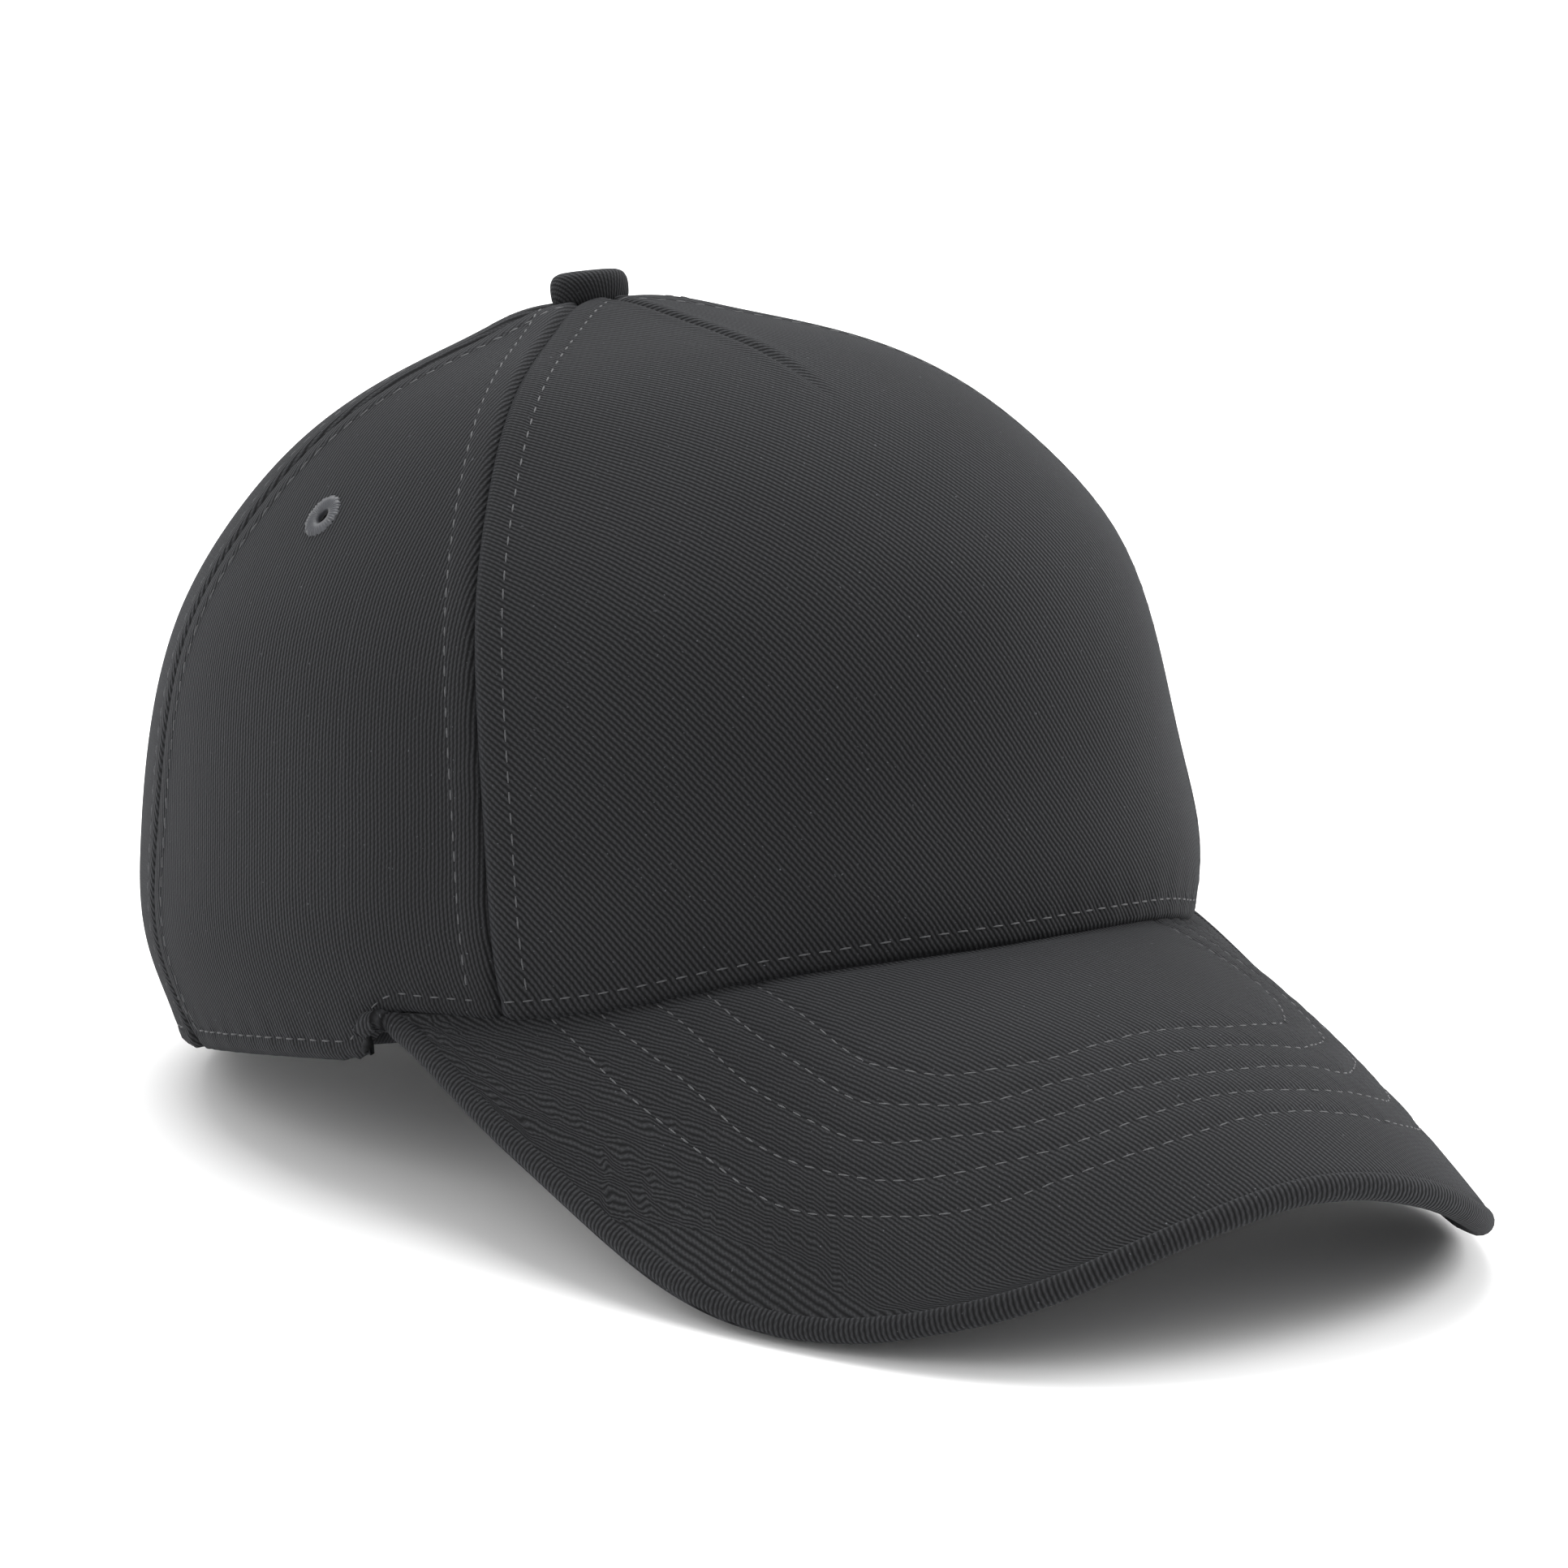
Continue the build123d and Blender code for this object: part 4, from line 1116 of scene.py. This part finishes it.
def round_piece(node, centre, middle_turn, low_turn, high_turn, rows, columns, inside):
    """A grid over a CAD band, cast level from an axis; turns run from the back to the left."""
    tree = node_tree_of(node)

    def band_hit(turn, height):
        way = across_axis * math.sin(turn) + back_axis * math.cos(turn)
        start = centre + rim_up * height
        if inside:
            return tree.ray_cast(start, way, 0.2)[3]
        found = tree.ray_cast(start + way * BAND_SIGHT, -way, BAND_SIGHT)[3]
        return None if found is None else BAND_SIGHT - found

    tries = [h for h in np.linspace(-0.06, 0.06, 161) if band_hit(middle_turn, h) is not None]
    level = tries[len(tries) // 2]
    start = edge_between(lambda t: band_hit(t, level) is not None, middle_turn, low_turn)
    stop = edge_between(lambda t: band_hit(t, level) is not None, middle_turn, high_turn)
    points = np.zeros((rows, columns, 3))
    for i, turn in enumerate(np.linspace(start + 0.002, stop - 0.002, columns)):
        way = across_axis * math.sin(turn) + back_axis * math.cos(turn)
        tries = [h for h in np.linspace(-0.06, 0.06, 121) if band_hit(turn, h) is not None]
        middle = tries[len(tries) // 2]
        top = edge_between(lambda h, t=turn: band_hit(t, h) is not None, middle, tries[-1] + 1.2 * MM)
        low = edge_between(lambda h, t=turn: band_hit(t, h) is not None, middle, tries[0] - 1.2 * MM)
        heights = np.linspace(top - 0.1 * MM, low + 0.1 * MM, rows)
        found = [band_hit(turn, h) for h in heights]
        radii = fill_gaps(np.array([np.nan if r is None else r for r in found], float))
        points[:, i] = [np.array(centre + rim_up * h + way * r) for h, r in zip(heights, radii)]
    fall = np.cumsum(np.linalg.norm(np.diff(points, axis=0), axis=2), axis=0)
    fall = np.concatenate([np.zeros((1, columns)), fall])
    piece = Pattern(points, along_rows(points), fall)
    away = ((points - np.array(centre)) * piece.normals).sum(axis=2, keepdims=True)
    piece.normals *= np.where(away * (-1.0 if inside else 1.0) < 0, -1.0, 1.0)
    return piece


def hem_relief(piece, insets):
    """Rounded edges and a stitched dip along each, for a folded band."""
    from_top, from_low = piece.flat_v, piece.flat_v[-1:, :] - piece.flat_v
    rounded = bell(from_top, 0, 0.8 * MM) + bell(from_low, 0, 0.8 * MM)
    dips = bell(from_top, insets[0], 0.7 * MM) + bell(from_low, -insets[1], 0.7 * MM)
    return -0.28 * MM * rounded - 0.2 * MM * dips


def stitch_rows(name, piece, insets, body="crown"):
    """Stitches along a band, at each distance from its top edge or, below zero, its lower edge."""
    bm = bmesh.new()
    for inset in insets:
        field = piece.flat_v if inset > 0 else piece.flat_v[-1:, :] - piece.flat_v
        line, out = contour(piece, field, abs(inset), rows=False, backwards=inset < 0)
        add_stitches(bm, line, out, length=2.1 * MM, width=0.42 * MM)
    settle(new_piece(name, bm, seam_thread), body=body, slot="eyelet_thread")


band_axis = Vector((0, 0.0467, 0.0225))
band = round_piece("sweatband", band_axis, math.pi, 0.0, TURN, 26, 230, True)
band_relief = hem_relief(band, BAND_STITCHES) + 0.2 * MM * soft_noise(band.points, 60.0, 15)
band.points = band.points + band.normals * band_relief[:, :, None]
# The first colour here is painted shade in the band's twill hollows; the second is the band's own colour.
sweat_hollow_shade, sweat_light = (0.004, 0.004, 0.0045), (0.03, 0.03, 0.033)
sweat_twill = twill_material("sweatband_twill", 45.0, sweat_hollow_shade, sweat_light, 0.6 * MM, 0.12 * MM)
sweatband = cloth_sheet("sweatband_cotton", band, sweat_twill, thickness=MM)
settle(sweatband, "sweatband", slot="sweatband_cotton")
declare(band)
stitch_rows("sweatband_stitch", band, BAND_STITCHES)

label_way = middle_of("size_label") - band_axis
label_turn = math.atan2(label_way.dot(across_axis), label_way.dot(back_axis))
label = round_piece("size_label", band_axis, label_turn, label_turn - 0.5, label_turn + 0.5, 12, 24, True)
label_curl = 0.25 * MM + 0.5 * MM * bell(label.flat_v[-1:, :] - label.flat_v, 0, 4 * MM)
label.points = label.points + label.normals * label_curl[:, :, None]
# The first colour is painted shade between the label's threads; the second is its own colour.
label_satin = plain_cloth("label_satin", (0.10, 0.10, 0.105), (0.34, 0.34, 0.35), 0.35 * MM, 0.4)
label_piece = cloth_sheet("size_label_satin", label, label_satin, thickness=0.3 * MM)
settle(label_piece, "size_label", slot="label_satin")
declare(label)

strap_centre = Vector((0, 0.072144, 0.028495))
strap = round_piece("adjuster_strap", strap_centre, 0.0, -1.3, 1.3, 22, 130, False)
strap.points = strap.points + strap.normals * hem_relief(strap, STRAP_STITCHES)[:, :, None]
strap_twill = twill_material("strap_twill", 52.0, depth=0.16 * MM)
strap_sheet = cloth_sheet("strap_band", strap, strap_twill, thickness=0.8 * MM)
settle(strap_sheet, "adjuster_strap", body="strap", slot="strap_twill")
declare(strap)
stitch_rows("strap_stitch", strap, STRAP_STITCHES, body="strap")

# The cloth loop: its tail lies inside the crown and its end turns round the clasp's bar.
bm = bmesh.new()
bm.from_mesh(frame["nodes"]["buckle_tab"].data)
bmesh.ops.remove_doubles(bm, verts=bm.verts[:], dist=0.01 * MM)
layer = bm.loops.layers.uv.new("pattern")
for face in bm.faces:
    for loop in face.loops:
        way = loop.vert.co - strap_centre
        turn = math.atan2(way.dot(across_axis), way.dot(back_axis))
        loop[layer].uv = (turn * LOOP_RADIUS, -way.dot(rim_up))
tab = new_piece("clasp_loop", bm, twill_material("loop_twill", 52.0, depth=0.16 * MM), smooth=False)
tab.data.set_sharp_from_angle(angle=math.radians(35))
settle(tab, "buckle_tab", slot="strap_twill")

# ---------------------------------------------------------------- metal clasp and hidden parts
# The clasp is stamped brass, plated in satin nickel, with fine scratches along the strap. The
# board, foam, shell and tack are closed in by the cloth round them.


def metal_material(name, colour, roughness):
    """Satin plated metal with fine scratches and a little dulling."""
    material = plain_material(name, colour, roughness, metallic=1.0)
    tree = material.node_tree
    shader = tree.nodes["Principled BSDF"]
    place = tree.nodes.new("ShaderNodeTexCoord").outputs["Object"]
    squeeze = tree.nodes.new("ShaderNodeMapping")
    squeeze.inputs["Scale"].default_value = (1.0, 1.0, 14.0)
    link(tree, place, squeeze.inputs["Vector"])
    scratch = noise_node(tree, squeeze.outputs["Vector"], 420.0, 4.0)
    dull = noise_node(tree, place, 90.0, 3.0)
    rough = math_node(tree, "MULTIPLY_ADD", dull, 0.22, roughness - 0.08)
    link(tree, rough, shader.inputs["Roughness"])
    raise_surface(tree, scratch, 0.012 * MM)
    return material


clasp_metal = metal_material("clasp_metal", (0.36, 0.355, 0.35), 0.34)
aluminium = metal_material("aluminium", (0.60, 0.60, 0.61), 0.42)


def moulded_material(name, colour, roughness):
    """Moulded plastic or foam: slightly mottled, with a fine pebbled surface."""
    material = plain_material(name, colour, roughness)
    tree = material.node_tree
    place = tree.nodes.new("ShaderNodeTexCoord").outputs["Object"]
    pebble = noise_node(tree, place, 900.0, 3.0)
    tone = colour_mix(tree, pebble, [c * 0.8 for c in colour], [min(c * 1.15, 1.0) for c in colour])
    link(tree, tone, tree.nodes["Principled BSDF"].inputs["Base Color"])
    raise_surface(tree, pebble, 0.03 * MM)
    return material


hidden_finish = {
    "buckle_frame": (clasp_metal, "buckle_metal"),
    "buckle_lever": (clasp_metal, "buckle_metal"),
    "buckle_pin": (clasp_metal, "buckle_metal"),
    "button_shell": (aluminium, "button_aluminium"),
    "button_tack": (aluminium, "button_aluminium"),
    "peak_board": (moulded_material("board_plastic", (0.05, 0.05, 0.052), 0.5), "peak_board_plastic"),
    "sweatband_interlining": (moulded_material("lining_foam", (0.03, 0.03, 0.032), 0.95), "sweatband_cotton"),
}
for node, (material, slot) in hidden_finish.items():
    piece = frame["nodes"][node]
    piece.data.materials.clear()
    piece.data.materials.append(material)
